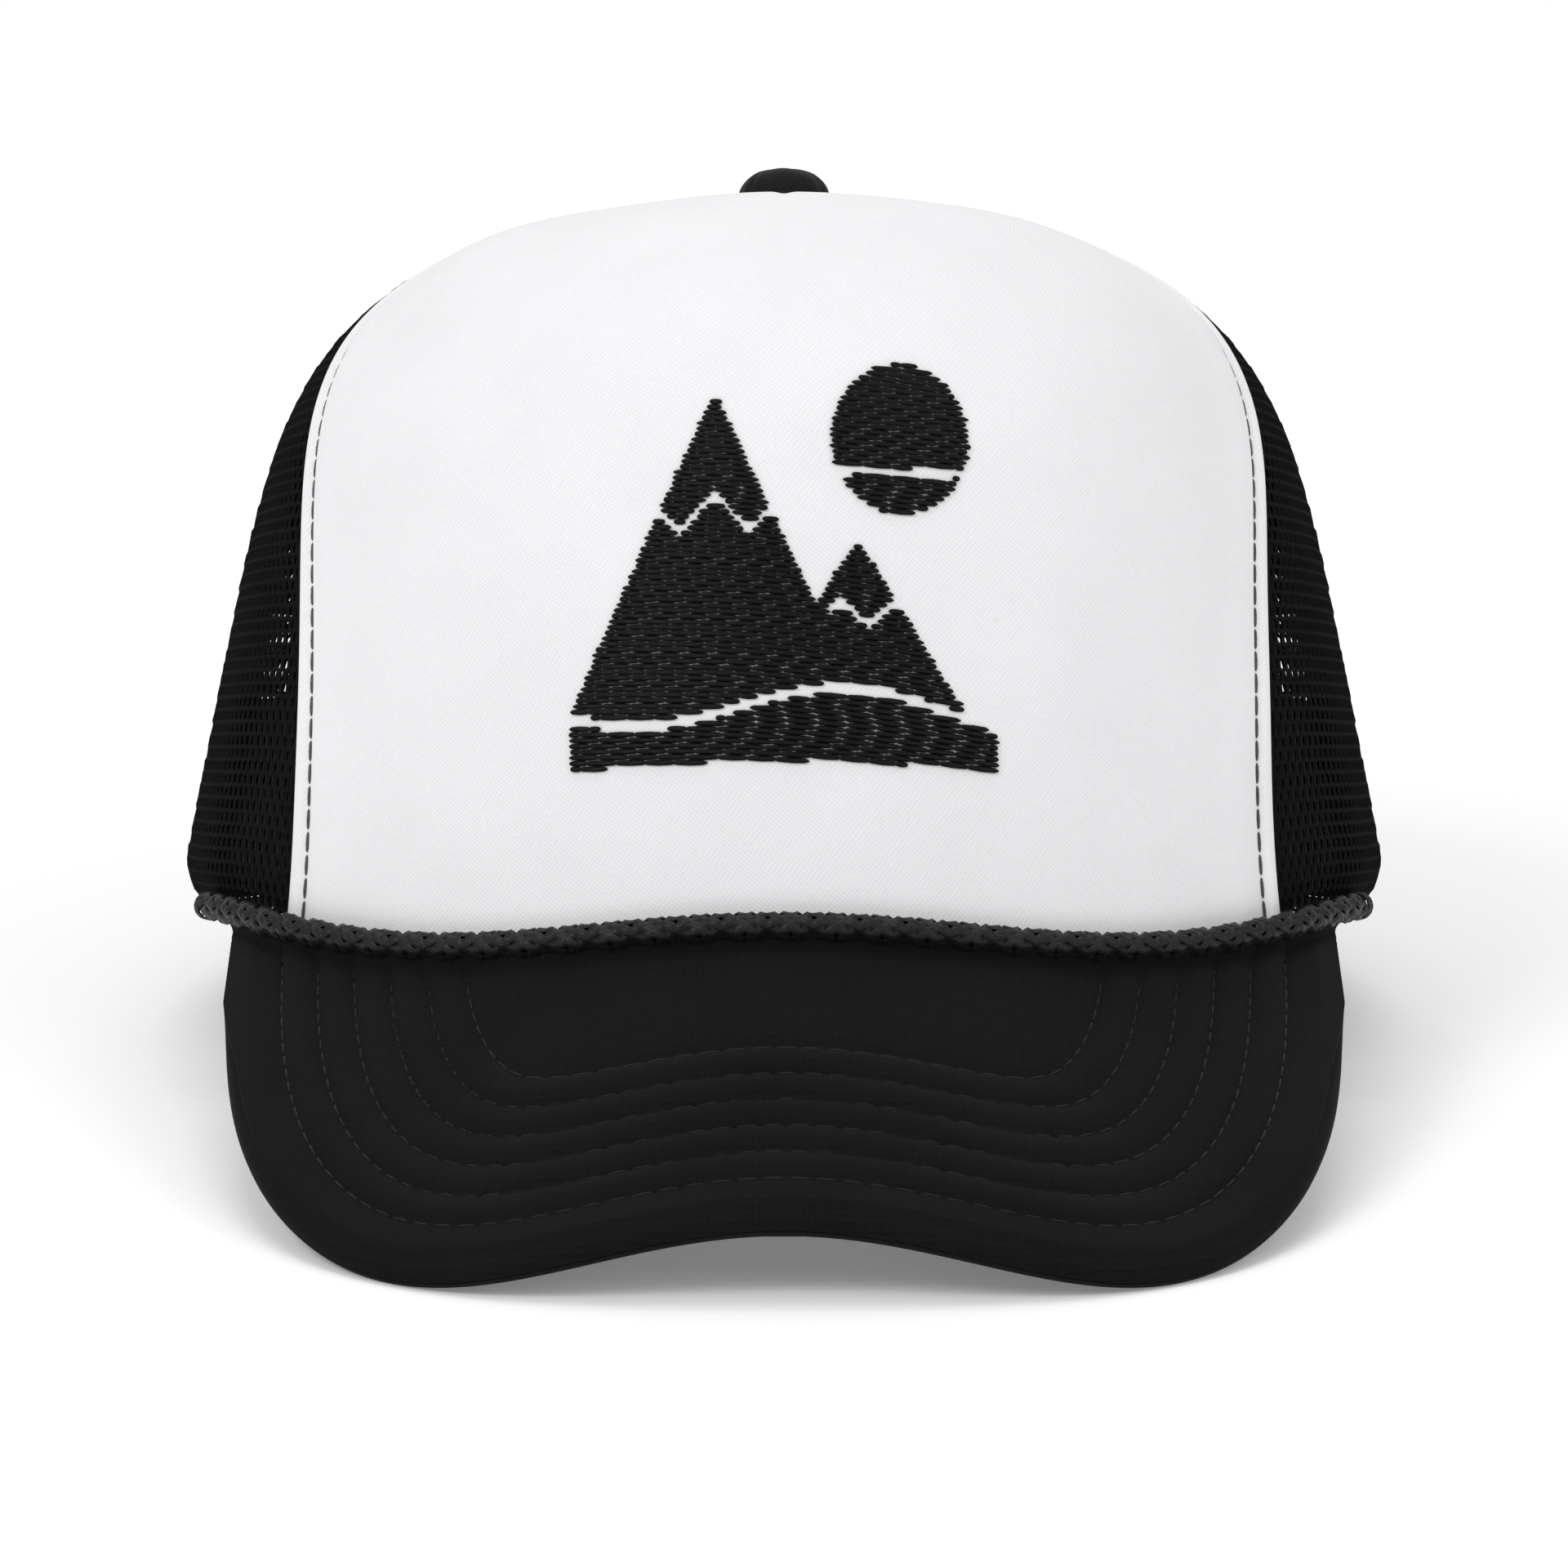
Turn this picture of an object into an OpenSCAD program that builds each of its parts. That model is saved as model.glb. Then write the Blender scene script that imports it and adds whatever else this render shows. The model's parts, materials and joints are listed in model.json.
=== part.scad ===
// A mesh-back cap with a padded front panel, a stiff curved brim, a braided cord
// over the brim and a snap closure behind. It stands as it does on a table: on the
// two front corners of the brim and on the back of the crown.

/* [Crown] */
// Outer width of the crown just above its lower edge
crown_w = 185; // [155:1:215]
// Outer length of the crown from front to back
crown_l = 184; // [155:1:220]
// Height of the crown from its lower edge to the button
crown_h = 106; // [88:1:125]
// How squarely the walls turn into the top
shoulder = 7.4; // [4:0.1:9]
// How far the sides lean in towards the top
side_lean = 21; // [8:0.5:24]
// How far the front leans back towards the top
front_lean = 16; // [6:0.5:24]
// How far the front of the top stands above its middle
front_rise = 12; // [0:0.5:16]
// How far the lower edge of the mesh is drawn in
hem_tuck = 4.5; // [0:0.5:6]
// How far the front edge dips on either side of the middle
edge_dip = 3.6; // [0:0.1:5]

/* [Panels] */
// Half of the angle that the front panel covers at the lower edge
front_half_deg = 52; // [42:1:56]
// Thickness of the front fabric
face_t = 1; // [0.5:0.1:1.5]
// Thickness of the foam behind the front fabric
foam_t = 2.4; // [1.5:0.1:3]
// Thickness of the mesh
mesh_t = 1.2; // [0.6:0.1:1.6]
// Width of the tapes that cover the seams inside
tape_w = 13; // [8:1:18]
// Thickness of the seam tapes
tape_t = 0.7; // [0.4:0.1:1]
// Clearance between neighbouring layers of cloth
layer_gap = 0.15; // [0.1:0.05:0.3]
// Clearance under the tapes and bindings, which cross the bends of the panels
tape_gap = 0.4; // [0.3:0.05:0.6]

/* [Sweatband] */
// Height of the sweatband
band_h = 32; // [25:1:40]
// Thickness of the sweatband
band_t = 1.3; // [0.8:0.1:2]

/* [Rear opening] */
// Width of the rear opening at the lower edge
arch_w = 76; // [60:1:90]
// Height of the rear opening
arch_h = 50; // [42:1:60]
// Width of the binding round the rear opening
binding_w = 9; // [6:1:12]

/* [Snap closure] */
// Height of the two straps
strap_h = 18; // [14:1:20]
// Thickness of the straps
strap_t = 1.2; // [0.8:0.1:1.4]
// Distance from one snap hole to the next
snap_pitch = 10; // [9:0.5:12]
// Number of pegs
peg_count = 2; // [1:1:3]
// Number of snap holes
hole_count = 7; // [5:1:8]
// Diameter of a peg
peg_d = 4.2; // [3:0.1:4.6]
// Diameter of a snap hole
hole_d = 6.2; // [6:0.1:6.8]

/* [Brim] */
// Half of the angle of the crown that the brim is sewn to
brim_half_deg = 66; // [60:1:70]
// Length of the brim at its middle, seen from above
brim_l = 57; // [48:1:72]
// Slope of the brim at its middle
brim_slope = 0.615; // [0.45:0.01:0.75]
// How much flatter the slope is at the sides of the brim
side_flatten = 0.22; // [0:0.01:0.3]
// How much lower the front corners of the brim are drawn down
brim_camber = 4.5; // [0:0.5:12]
// How square the front corners of the brim are
brim_square = 3.2; // [2.2:0.1:4]
// Thickness of the board inside the brim
board_t = 1.8; // [1.2:0.1:2.4]
// Thickness of the cloth over and under the board
cover_t = 0.7; // [0.4:0.1:1]
// Number of rows of stitching
stitch_rows = 6; // [3:1:8]
// Distance from one row of stitching to the next
row_pitch = 5.2; // [4:0.1:5.6]
// Distance from the edge of the brim to the first row
row_edge = 8.4; // [6:0.2:10]

/* [Trim] */
// Diameter of the button on top
button_d = 13.8; // [11:0.2:17]
// Height of the button
button_h = 5.6; // [4:0.2:7]
// Diameter of the cord over the brim
cord_d = 3.8; // [3:0.1:4.6]
// Width of the emblem on the front
emblem_w = 62; // [40:1:80]
// Height of the emblem on the front
emblem_h = 52; // [30:1:60]
// Thickness of the emblem
emblem_t = 0.8; // [0.4:0.1:1.2]

/* [Hidden] */

half_w = crown_w / 2;
half_l = crown_l / 2;
tuck_h = 9;                    // the lower edge is drawn in over this height
dip_deg = 66;                  // the dips in the front edge end at this angle
side_seam_deg = 28;            // the side seams meet the lower edge this far behind the middle
top_hole_r = 2.6;              // the panels stop at this radius under the button
rivet_r = 1.6;
seam_gap = 0.2;
hem_t = 1.2;                   // thickness of the folded strip under the crown
hem_lip = 0.3;                 // the strip stands this far outside the crown
foot_rise = 2;                 // the layers inside end this far above the lower edge
brim_seat = 2.1;               // the brim's middle sheet starts this far under the crown
root_clear = 0.9;              // and this far outside it
brim_from = 5;
brim_steps = 44;
arch_step = 5;                 // one step round the arch, in degrees
seam_rise = 0.45;              // how fast the front seams turn towards the button
front_top_deg = 84;            // half of the angle of the front panel at the button

// ---- crown surface -------------------------------------------------------------
// a is the angle round the crown, -90 at the front; t runs from 0 at the lower
// edge to 1 at the button.
function clamp(v, low, high) = min(max(v, low), high);
function rise_deg(t) = 90 * pow(t, shoulder / 2);
function height_share(t) = pow(sin(rise_deg(t)), 2 / shoulder);
function t_at(z) = pow(asin(pow(clamp(z, 0, crown_h * 0.98) / crown_h, shoulder / 2)) / 90, 2 / shoulder);
function lean_share(a) =
    let (front = clamp(-sin(a), 0, 1))
    side_lean / half_w + (front_lean / half_l - side_lean / half_w) * front * front;
function off_front(a) = let (off = abs(a + 90)) min(off, 360 - off);
function edge_drop(a) = off_front(a) > dip_deg ? 0 : edge_dip * pow(sin(180 * off_front(a) / dip_deg), 2);
function tuck(a, z) =
    let (side = clamp((off_front(a) - front_half_deg) / 25, 0, 1) * clamp((152 - off_front(a)) / 20, 0, 1))
    hem_tuck * side * pow(max(0, 1 - z / tuck_h), 2);
function crown_pt(a, t) =
    let (zs = height_share(t), z = crown_h * zs,
         rho = cos(rise_deg(t)) * (1 - lean_share(a) * zs),
         x = (half_w - tuck(a, z)) * cos(a) * rho,
         y = (half_l - tuck(a, z)) * sin(a) * rho)
    [x, y, z * (1 - front_rise / crown_h * y / half_l) - edge_drop(a) * pow(1 - zs, 2)];
function unit(v) = v / norm(v);
function crown_normal(a, t) =
    let (h = 0.002, t0 = clamp(t, h, 1 - 2 * h),
         across = crown_pt(a + 0.2, t0) - crown_pt(a - 0.2, t0),
         up = crown_pt(a, t0 + h) - crown_pt(a, t0 - h))
    unit(cross(across, up));
// A point d outside the crown's outer face
function shell_pt(a, t, d) = crown_pt(a, t) + d * crown_normal(a, t);
t_top = pow(acos(top_hole_r / half_w / (1 - side_lean / half_w)) / 90, 2 / shoulder);

// ---- seams ---------------------------------------------------------------------
function front_half(t) = front_half_deg + (front_top_deg - front_half_deg) * pow(rise_deg(t) / 90, seam_rise);
function front_seam(t) = -90 + front_half(t);
function side_seam(t) = side_seam_deg + (42 - side_seam_deg) * t;
function gap_deg(t) = seam_gap / 2 / (half_w * max(0.06, cos(rise_deg(t)))) * 180 / PI;
function mm_deg(mm, t) = mm / (half_w * max(0.06, cos(rise_deg(t)))) * 180 / PI;

// ---- brim surface --------------------------------------------------------------
function root_y(x) = -half_l * sqrt(1 - pow(min(abs(x) / half_w, 0.995), 2));
function root_drop(x) = edge_drop(-90 + asin(clamp(abs(x) / half_w, 0, 1)));
function slope_at(x) = brim_slope - side_flatten * pow(abs(x) / root_half, 4);
function brim_z(x, y) =
    let (ahead = root_y(x) - y)
    -slope_at(x) * ahead - brim_camber * ahead / brim_l * pow(x / root_half, 2) - root_drop(x) - brim_seat;
root_half = (half_w - hem_tuck) * sin(brim_half_deg);
root_back = root_y(root_half);
brim_reach = brim_l + half_l + root_back;
// Outline of the brim in plan at an angle b, moved in by an inset
function outline(b, inset = 0) =
    let (c = cos(b), s = sin(b),
         p = [root_half * sign(c) * pow(abs(c), 2 / brim_square),
              root_back - brim_reach * pow(abs(s), 2 / brim_square)],
         n = unit([sign(c) * pow(abs(c), 2 - 2 / brim_square) / root_half,
                   -pow(abs(s), 2 - 2 / brim_square) / brim_reach]))
    p - inset * n;
// A point of the brim's middle sheet: b runs round the outline and w from the crown
// to the outer edge; e moves the point outwards and d lifts it off the sheet.
function brim_plan(b, w, e) =
    let (o = outline(b, -e), x = o[0] * root_half / (root_half + max(e, 0)),
         i = [x * 0.995, root_y(x) - root_clear])
    i + (o - i) * w;
function brim_normal(x, y) =
    let (h = 0.3)
    unit([brim_z(x - h, y) - brim_z(x + h, y), brim_z(x, y - h) - brim_z(x, y + h), 2 * h]);
function sheet_pt(p, d) = [p[0], p[1], brim_z(p[0], p[1])] + d * brim_normal(p[0], p[1]);
function brim_pt(b, w, e, d) = sheet_pt(brim_plan(b, w, e), d);
function brim_angle(i) = brim_from + (180 - 2 * brim_from) * i / brim_steps;
// Cloth that lies on one face of the board and turns half way round its edge
function cover_section(r, edge) = concat([for (k = [0, 0.25, 0.5, 0.75, 1]) [k, -1.4, r]],
                                         [[1, edge - 0.35 * r, 0.7 * r], [1, edge, 0.06]]);
half_board = board_t / 2;
cover_out = cover_section(half_board + layer_gap + cover_t, 0);
cover_in = cover_section(half_board + layer_gap, -cover_t);

// ---- rear opening --------------------------------------------------------------
// A point of the back wall, from its distance x from the middle and its height z
function back_pt(x, z, d) = shell_pt(90 - x / half_l * 180 / PI, t_at(z), d);
arch_half = arch_w / 2;
arch_deg = arch_half / half_l * 180 / PI;
// A point round the opening, e outside its edge
function arch_pt(beta, e, d) =
    let (n = unit([cos(beta) * arch_h, sin(beta) * arch_half]))
    back_pt(arch_half * cos(beta) + e * n[0], max(foot_rise, arch_h * sin(beta) + e * n[1]), d);

// ---- room for the closure --------------------------------------------------------
strap_z = 4;                   // height of the straps' lower edges
strap_top = strap_z + strap_h;
strap_gap = 0.25;
// Outer faces of the outer and the inner strap, upright inside the leaning wall
strap_r = min([for (z = [strap_z, strap_top]) back_pt(0, z, 0)[1]]) - mesh_t - tape_gap - tape_t - 0.4;
inner_r = strap_r - strap_t - strap_gap;
function arc_deg(mm) = mm / strap_r * 180 / PI;
tab_deg = arch_deg + arc_deg(12);

// ---- standing pose -------------------------------------------------------------
// The crown is tilted back until the brim's corners and the hem's ends stand level.
brim_feet = [for (i = [0 : brim_steps], s = cover_out) brim_pt(brim_angle(i), s[0], s[1], -s[2])];
hem_end = 90 - arch_deg - mm_deg(1, 0);
hem_foot = [0, (half_l + hem_lip) * sin(hem_end), -layer_gap - hem_t];
rest_tilt = max([for (f = brim_feet) atan2(hem_foot[2] - f[2], hem_foot[1] - f[1])]);
function tilt(p) = [p[0], p[1] * cos(rest_tilt) + p[2] * sin(rest_tilt),
                    p[2] * cos(rest_tilt) - p[1] * sin(rest_tilt)];
back_y = max([for (beta = [0 : arch_step : 180], e = [0, binding_w])
              tilt(arch_pt(beta, e, tape_gap + tape_t))[1]]);
front_y = min([for (i = [0 : brim_steps], s = cover_out, k = [-1, 1])
               tilt(brim_pt(brim_angle(i), s[0], s[1], k * s[2]))[1]]);
place_shift = [0, -(back_y + front_y) / 2, -tilt(hem_foot)[2]];
function place(p) = tilt(p) + place_shift;
module stand() { translate(place_shift) rotate([-rest_tilt, 0, 0]) children(); }

// ---- solids from grids of points ------------------------------------------------
// Two grids of the same size, one on each face, joined round their edges
module slab(outer, inner) {
    rows = len(outer);
    cols = len(outer[0]);
    n = rows * cols;
    function id(i, j) = i * cols + j;
    points = [for (g = [inner, outer], r = g, p = r) place(p)];
    faces = concat(
        [for (i = [0 : rows - 2], j = [0 : cols - 2], k = [0, 1])
            k == 0 ? [id(i, j), id(i + 1, j), id(i + 1, j + 1)] : [id(i, j), id(i + 1, j + 1), id(i, j + 1)]],
        [for (i = [0 : rows - 2], j = [0 : cols - 2], k = [0, 1])
            k == 0 ? [n + id(i, j), n + id(i + 1, j + 1), n + id(i + 1, j)]
                   : [n + id(i, j), n + id(i, j + 1), n + id(i + 1, j + 1)]],
        [for (i = [0 : rows - 2], k = [0, 1])
            k == 0 ? [id(i, 0), n + id(i, 0), n + id(i + 1, 0)] : [id(i, 0), n + id(i + 1, 0), id(i + 1, 0)]],
        [for (i = [0 : rows - 2], k = [0, 1]) let (c = cols - 1)
            k == 0 ? [id(i, c), id(i + 1, c), n + id(i + 1, c)] : [id(i, c), n + id(i + 1, c), n + id(i, c)]],
        [for (j = [0 : cols - 2], k = [0, 1])
            k == 0 ? [id(0, j), id(0, j + 1), n + id(0, j + 1)] : [id(0, j), n + id(0, j + 1), n + id(0, j)]],
        [for (j = [0 : cols - 2], k = [0, 1]) let (r = rows - 1)
            k == 0 ? [id(r, j), n + id(r, j), n + id(r, j + 1)]
                   : [id(r, j), n + id(r, j + 1), id(r, j + 1)]]);
    polyhedron(points, faces, convexity = 6);
}
// A closed tube through rings of points
module tube(rings) {
    n = len(rings[0]);
    last = len(rings) - 1;
    points = [for (r = rings, p = r) place(p)];
    faces = concat(
        [for (i = [0 : last - 1], j = [0 : n - 1], k = [0, 1]) let (m = (j + 1) % n)
            k == 0 ? [i * n + j, (i + 1) * n + j, (i + 1) * n + m] : [i * n + j, (i + 1) * n + m, i * n + m]],
        [[for (j = [0 : n - 1]) j], [for (j = [n - 1 : -1 : 0]) last * n + j]]);
    polyhedron(points, faces, convexity = 6);
}
// A layer of the crown between two seams; side is -1 for the wearer's left
module panel(columns, rows, from, to, low, high, d_out, d_in, side = 1) {
    function grid(d) = [for (i = [0 : columns])
        let (u = i / columns)
        [for (j = [0 : rows])
            let (t = low + (high - low) * j / rows, a = from(t) + (to(t) - from(t)) * u,
                 p = shell_pt(a, t, d))
            [side * p[0], p[1], p[2]]]];
    if (side > 0) slab(grid(d_out), grid(d_in));
    else slab(grid(d_in), grid(d_out));
}

// ---- front of the crown ----------------------------------------------------------
module front_panel() {
    from = function (t) -180 - front_seam(t) + gap_deg(t);
    to = function (t) front_seam(t) - gap_deg(t);
    color("white") panel(28, 20, from, to, 0, t_top, 0, -face_t);
}
foam_front = -face_t - 2 * layer_gap;
foam_back = foam_front - foam_t;
module front_foam() {
    inset = tape_w / 2 + 1;
    high = t_at(crown_h * 0.96);
    from = function (t) -180 - front_seam(t) + mm_deg(inset, t);
    to = function (t) front_seam(t) - mm_deg(inset, t);
    color("gainsboro") panel(22, 14, from, to, t_at(foot_rise), high, foam_front, foam_back);
}
module side_mesh(side) {
    from = function (t) front_seam(t) + gap_deg(t);
    to = function (t) side_seam(t) - gap_deg(t);
    color("#151515") panel(10, 16, from, to, 0, t_top, 0, -mesh_t, side);
}
module side_mesh_left() { side_mesh(1); }
module side_mesh_right() { side_mesh(-1); }

// ---- back of the crown -----------------------------------------------------------
// A rear panel: full height beside the opening, then over its arch
module rear_mesh(side) {
    beside = 7;
    rows = 16;
    edge = 90 - arch_deg;
    function column(i, d) =
        let (beta = max(0, i - beside) * arch_step,
             low = i > beside ? t_at(arch_h * sin(beta)) : 0,
             first = side_seam(low),
             foot = i > beside ? 90 - arch_deg * cos(beta) : first + (edge - first) * i / beside,
             share = (foot - first) / (90 - first))
        [for (j = [0 : rows])
            let (t = low + (t_top - low) * j / rows,
                 start = side_seam(t) + gap_deg(t),
                 p = shell_pt(start + (90 - gap_deg(t) - start) * share, t, d))
            [side * p[0], p[1], p[2]]];
    outer = [for (i = [0 : beside + 90 / arch_step]) column(i, 0)];
    inner = [for (i = [0 : beside + 90 / arch_step]) column(i, -mesh_t)];
    color("#151515")
    if (side > 0) slab(outer, inner);
    else slab(inner, outer);
}
module rear_mesh_left() { rear_mesh(1); }
module rear_mesh_right() { rear_mesh(-1); }

// A folded tape round the edge of the rear opening
module rear_opening_binding() {
    over = tape_gap + tape_t;
    back = -mesh_t - tape_gap;
    across = [1, 0.67, 0.33, 0];
    outside = concat([for (k = across) [binding_w * k, over]], [[-1.1, 0], [-1.1, -mesh_t]],
                     [for (k = across) [binding_w * (1 - k), back - tape_t]]);
    inside = concat([for (k = across) [binding_w * k, tape_gap]], [[-0.35, 0], [-0.35, -mesh_t]],
                    [for (k = across) [binding_w * (1 - k), back]]);
    function line(section) = [for (beta = [0 : arch_step : 180])
        [for (s = section) arch_pt(beta, s[0], s[1])]];
    color("#202020") slab(line(inside), line(outside));
}

// ---- tapes over the seams --------------------------------------------------------
tape_d = -mesh_t - tape_gap;
module seam_tape(seam, low, side) {
    from = function (t) seam(t) - mm_deg(tape_w / 2, t);
    to = function (t) seam(t) + mm_deg(tape_w / 2, t);
    color("#202020") panel(2, 15, from, to, low, t_top * 15 / 16, tape_d, tape_d - tape_t, side);
}
module front_seam_tape_left() { seam_tape(function (t) front_seam(t), t_at(foot_rise), 1); }
module front_seam_tape_right() { seam_tape(function (t) front_seam(t), t_at(foot_rise), -1); }
module side_seam_tape_left() { seam_tape(function (t) side_seam(t), t_at(foot_rise), 1); }
module side_seam_tape_right() { seam_tape(function (t) side_seam(t), t_at(foot_rise), -1); }
module back_seam_tape() { seam_tape(function (t) 90, t_at(arch_h + binding_w + 1.5), 1); }

// ---- lower edge ------------------------------------------------------------------
band_front = foam_t + face_t + 3 * layer_gap;
band_side = mesh_t + 2 * strap_t + 3.2;
// The tabs stand upright inside the leaning wall, so the band stands further in there
function wall_r(deg) = let (p = crown_pt(90 - deg, t_at(strap_z))) norm([p[0], p[1]]);
tab_clear = 0.3;
band_back = max([for (deg = [arch_deg, tab_deg]) wall_r(deg)]) - inner_r + strap_t + tab_clear - band_side;
function band_d(a) =
    let (side = clamp((off_front(a) - front_half_deg) / 40, 0, 1),
         back = clamp((off_front(a) - 125) / 15, 0, 1))
    -(band_front + (band_side - band_front) * side + band_back * back);
hem_steps = 60;
// The folded strip under the lower edges of the panels and the sweatband
module crown_hem() {
    first = -180 - hem_end;
    function line(reach, z) = [for (i = [0 : hem_steps])
        let (a = first + (hem_end - first) * i / hem_steps,
             p = crown_pt(a, 0), n = unit([cos(a) / half_w, sin(a) / half_l]))
        [[p[0] + hem_lip * n[0], p[1] + hem_lip * n[1], p[2] - z],
         [p[0] - reach(a) * n[0], p[1] - reach(a) * n[1], p[2] - z]]];
    reach = function (a) band_t - band_d(a) + hem_lip;
    color("#202020") slab(line(reach, layer_gap), line(reach, layer_gap + hem_t));
}
module sweatband() {
    first = -270 + arch_deg + mm_deg(2, 0);
    last = 90 - arch_deg - mm_deg(2, 0);
    levels = [0, 0.35, 0.7, 1];
    // further in along the leaning wall is also lower, so the band starts higher up
    foot = (band_side + band_back + band_t) * side_lean / crown_h + tab_clear;
    function line(extra) = [for (i = [0 : hem_steps])
        let (a = first + (last - first) * i / hem_steps)
        [for (k = levels) shell_pt(a, t_at(foot + (band_h - foot) * k), band_d(a) - extra)]];
    color("#262626") slab(line(0), line(band_t));
}

// ---- stitching and emblem --------------------------------------------------------
stitch_in = 3.8;               // distance from the front seams to their stitching
module front_topstitch(side) {
    from = function (t) front_seam(t) - mm_deg(stitch_in + 0.35, t);
    to = function (t) front_seam(t) - mm_deg(stitch_in - 0.35, t);
    color("dimgray") panel(1, 30, from, to, 0.015, t_at(crown_h * 0.9), 0.3, 0.02, side);
}
module front_topstitch_left() { front_topstitch(1); }
module front_topstitch_right() { front_topstitch(-1); }

// Hills under a round sun, thread raised on the front panel
emblem_foot = 22;              // height of the emblem's lower edge on the front panel
sun_r = 0.16;                  // radius of the sun, as a share of the emblem's width
sun_x = 0.27;
module front_emblem() {
    columns = 22;
    function front_pt(x, z, d) = shell_pt(-90 + x / half_w * 180 / PI, t_at(emblem_foot + z), d);
    function peak(x, top, height, run) = height - abs(x - top) * height / run;
    function skyline(x) = emblem_h * max(0.12, peak(x, -0.16, 0.92, 0.4), peak(x, 0.17, 0.55, 0.33));
    function hills(d) = [for (i = [0 : columns])
        let (x = i / columns - 0.5)
        [for (j = [0 : 6]) front_pt(emblem_w * x, skyline(x) * j / 6, d)]];
    function sun(d) = [for (i = [0 : 12])
        let (x = -cos(i * 15 + 0.01), half = sqrt(1 - x * x))
        [for (j = [-2 : 2])
            front_pt(emblem_w * (sun_x + sun_r * x), emblem_h - emblem_w * sun_r * (1 - half * j / 2), d)]];
    color("#101010") {
        slab(hills(0.1 + emblem_t), hills(0.1));
        slab(sun(0.1 + emblem_t), sun(0.1));
    }
}

// ---- button ----------------------------------------------------------------------
button_seat = crown_pt(-90, 1)[2];
top_slope = atan(front_rise / half_l);
module on_top() { stand() translate([0, 0, button_seat]) rotate([top_slope * -1, 0, 0]) children(); }
dome_t = 0.7;
hidden_cut = 0.001;             // a cut starts this far below the face that it opens
// A flattened dome: its outline as a half section
module dome(r, h, floor_z) {
    rotate_extrude($fn = 64)
    polygon(concat([[0, floor_z], [r * 0.9, floor_z]],
                   [for (b = [0 : 10 : 90])
                       [r * pow(cos(b), 0.8), floor_z + 0.8 + (h - 0.8) * pow(sin(b), 0.9)]]));
}
button_floor = 0.5;
module button_cover() {
    color("#1c1c1c") on_top() difference() {
        dome(button_d / 2, button_h, button_floor);
        translate([0, 0, -hidden_cut]) dome(button_d / 2 - dome_t, button_h - dome_t, button_floor);
    }
}
module button_cap() {
    r = button_d / 2 - dome_t - layer_gap;
    h = button_h - dome_t - layer_gap;
    color("silver") on_top() difference() {
        dome(r, h, button_floor);
        translate([0, 0, -hidden_cut]) dome(r - dome_t, h - dome_t, button_floor);
    }
}
module button_rivet() {
    top = button_floor + button_h - 2 * dome_t - 2 * layer_gap;
    color("silver") on_top() union() {
        translate([0, 0, -3]) cylinder(r = rivet_r, h = top + 3 - 0.6, $fn = 32);
        translate([0, 0, button_floor]) cylinder(r = 3.4, h = 0.8, $fn = 48);
    }
}
module button_washer() {
    color("silver") on_top() translate([0, 0, -3]) difference() {
        cylinder(d = button_d - 1, h = 0.8, $fn = 48);
        translate([0, 0, -1]) cylinder(r = rivet_r + 0.05, h = 3, $fn = 32);
    }
}

// ---- brim ------------------------------------------------------------------------
// A layer of the brim: section lists [w, e, d] from the crown outwards
module brim_layer(upper, lower) {
    slab([for (i = [0 : brim_steps]) [for (s = upper) brim_pt(brim_angle(i), s[0], s[1], s[2])]],
         [for (i = [0 : brim_steps]) [for (s = lower) brim_pt(brim_angle(i), s[0], s[1], s[2])]]);
}
module brim_board() {
    w = [0.02, 0.35, 0.7, 1];
    color("gainsboro") brim_layer([for (k = w) [k, -1.2, half_board]], [for (k = w) [k, -1.2, -half_board]]);
}
module brim_top_cover() { color("#1a1a1a") brim_layer(cover_out, cover_in); }
module brim_bottom_cover() {
    function under(section) = [for (s = section) [s[0], s[1], -s[2]]];
    color("#1a1a1a") brim_layer(under(cover_in), under(cover_out));
}
// Rows of thread along the brim, each the same distance inside the last
module brim_stitching() {
    thread = 0.45;
    lift = half_board + layer_gap + cover_t + 0.45;
    function strip(track, d) = [for (p = track)
        [sheet_pt(p - [0, thread / 2], d), sheet_pt(p + [0, thread / 2], d)]];
    color("#080808")
    for (row = [0 : stitch_rows - 1]) {
        inset = row_edge + row * row_pitch;
        track = [for (b = [3 : 3 : 177]) let (p = outline(b, inset)) if (p[1] < root_y(p[0]) - 4) p];
        slab(strip(track, lift), strip(track, lift + 0.3));
    }
}

// ---- cord over the brim ----------------------------------------------------------
cord_deg = brim_half_deg + 1;
function cord_centre(a) =
    let (p = crown_pt(a, 0), n = unit([cos(a) / half_w, sin(a) / half_l]), r = cord_d / 2 + 0.7)
    [p[0] + r * n[0], p[1] + r * n[1], p[2] + cord_d / 2 - 0.6];
module brim_cord() {
    rings = [for (i = [0 : 56])
        let (a = -90 + cord_deg * (i / 28 - 1), c = cord_centre(a), n = [cos(a), sin(a), 0])
        [for (k = [0 : 7]) c + cord_d / 2 * (cos(k * 45) * n - sin(k * 45) * [0, 0, 1])]];
    color("#303030") tube(rings);
}
module cord_tack(side) {
    a = -90 + side * (cord_deg + 0.9);
    c = cord_centre(a);
    color("#080808") stand() translate(c) rotate([0, 0, a]) cube([cord_d - 0.2, 1.2, cord_d], center = true);
}
module cord_tack_left() { cord_tack(1); }
module cord_tack_right() { cord_tack(-1); }

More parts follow.
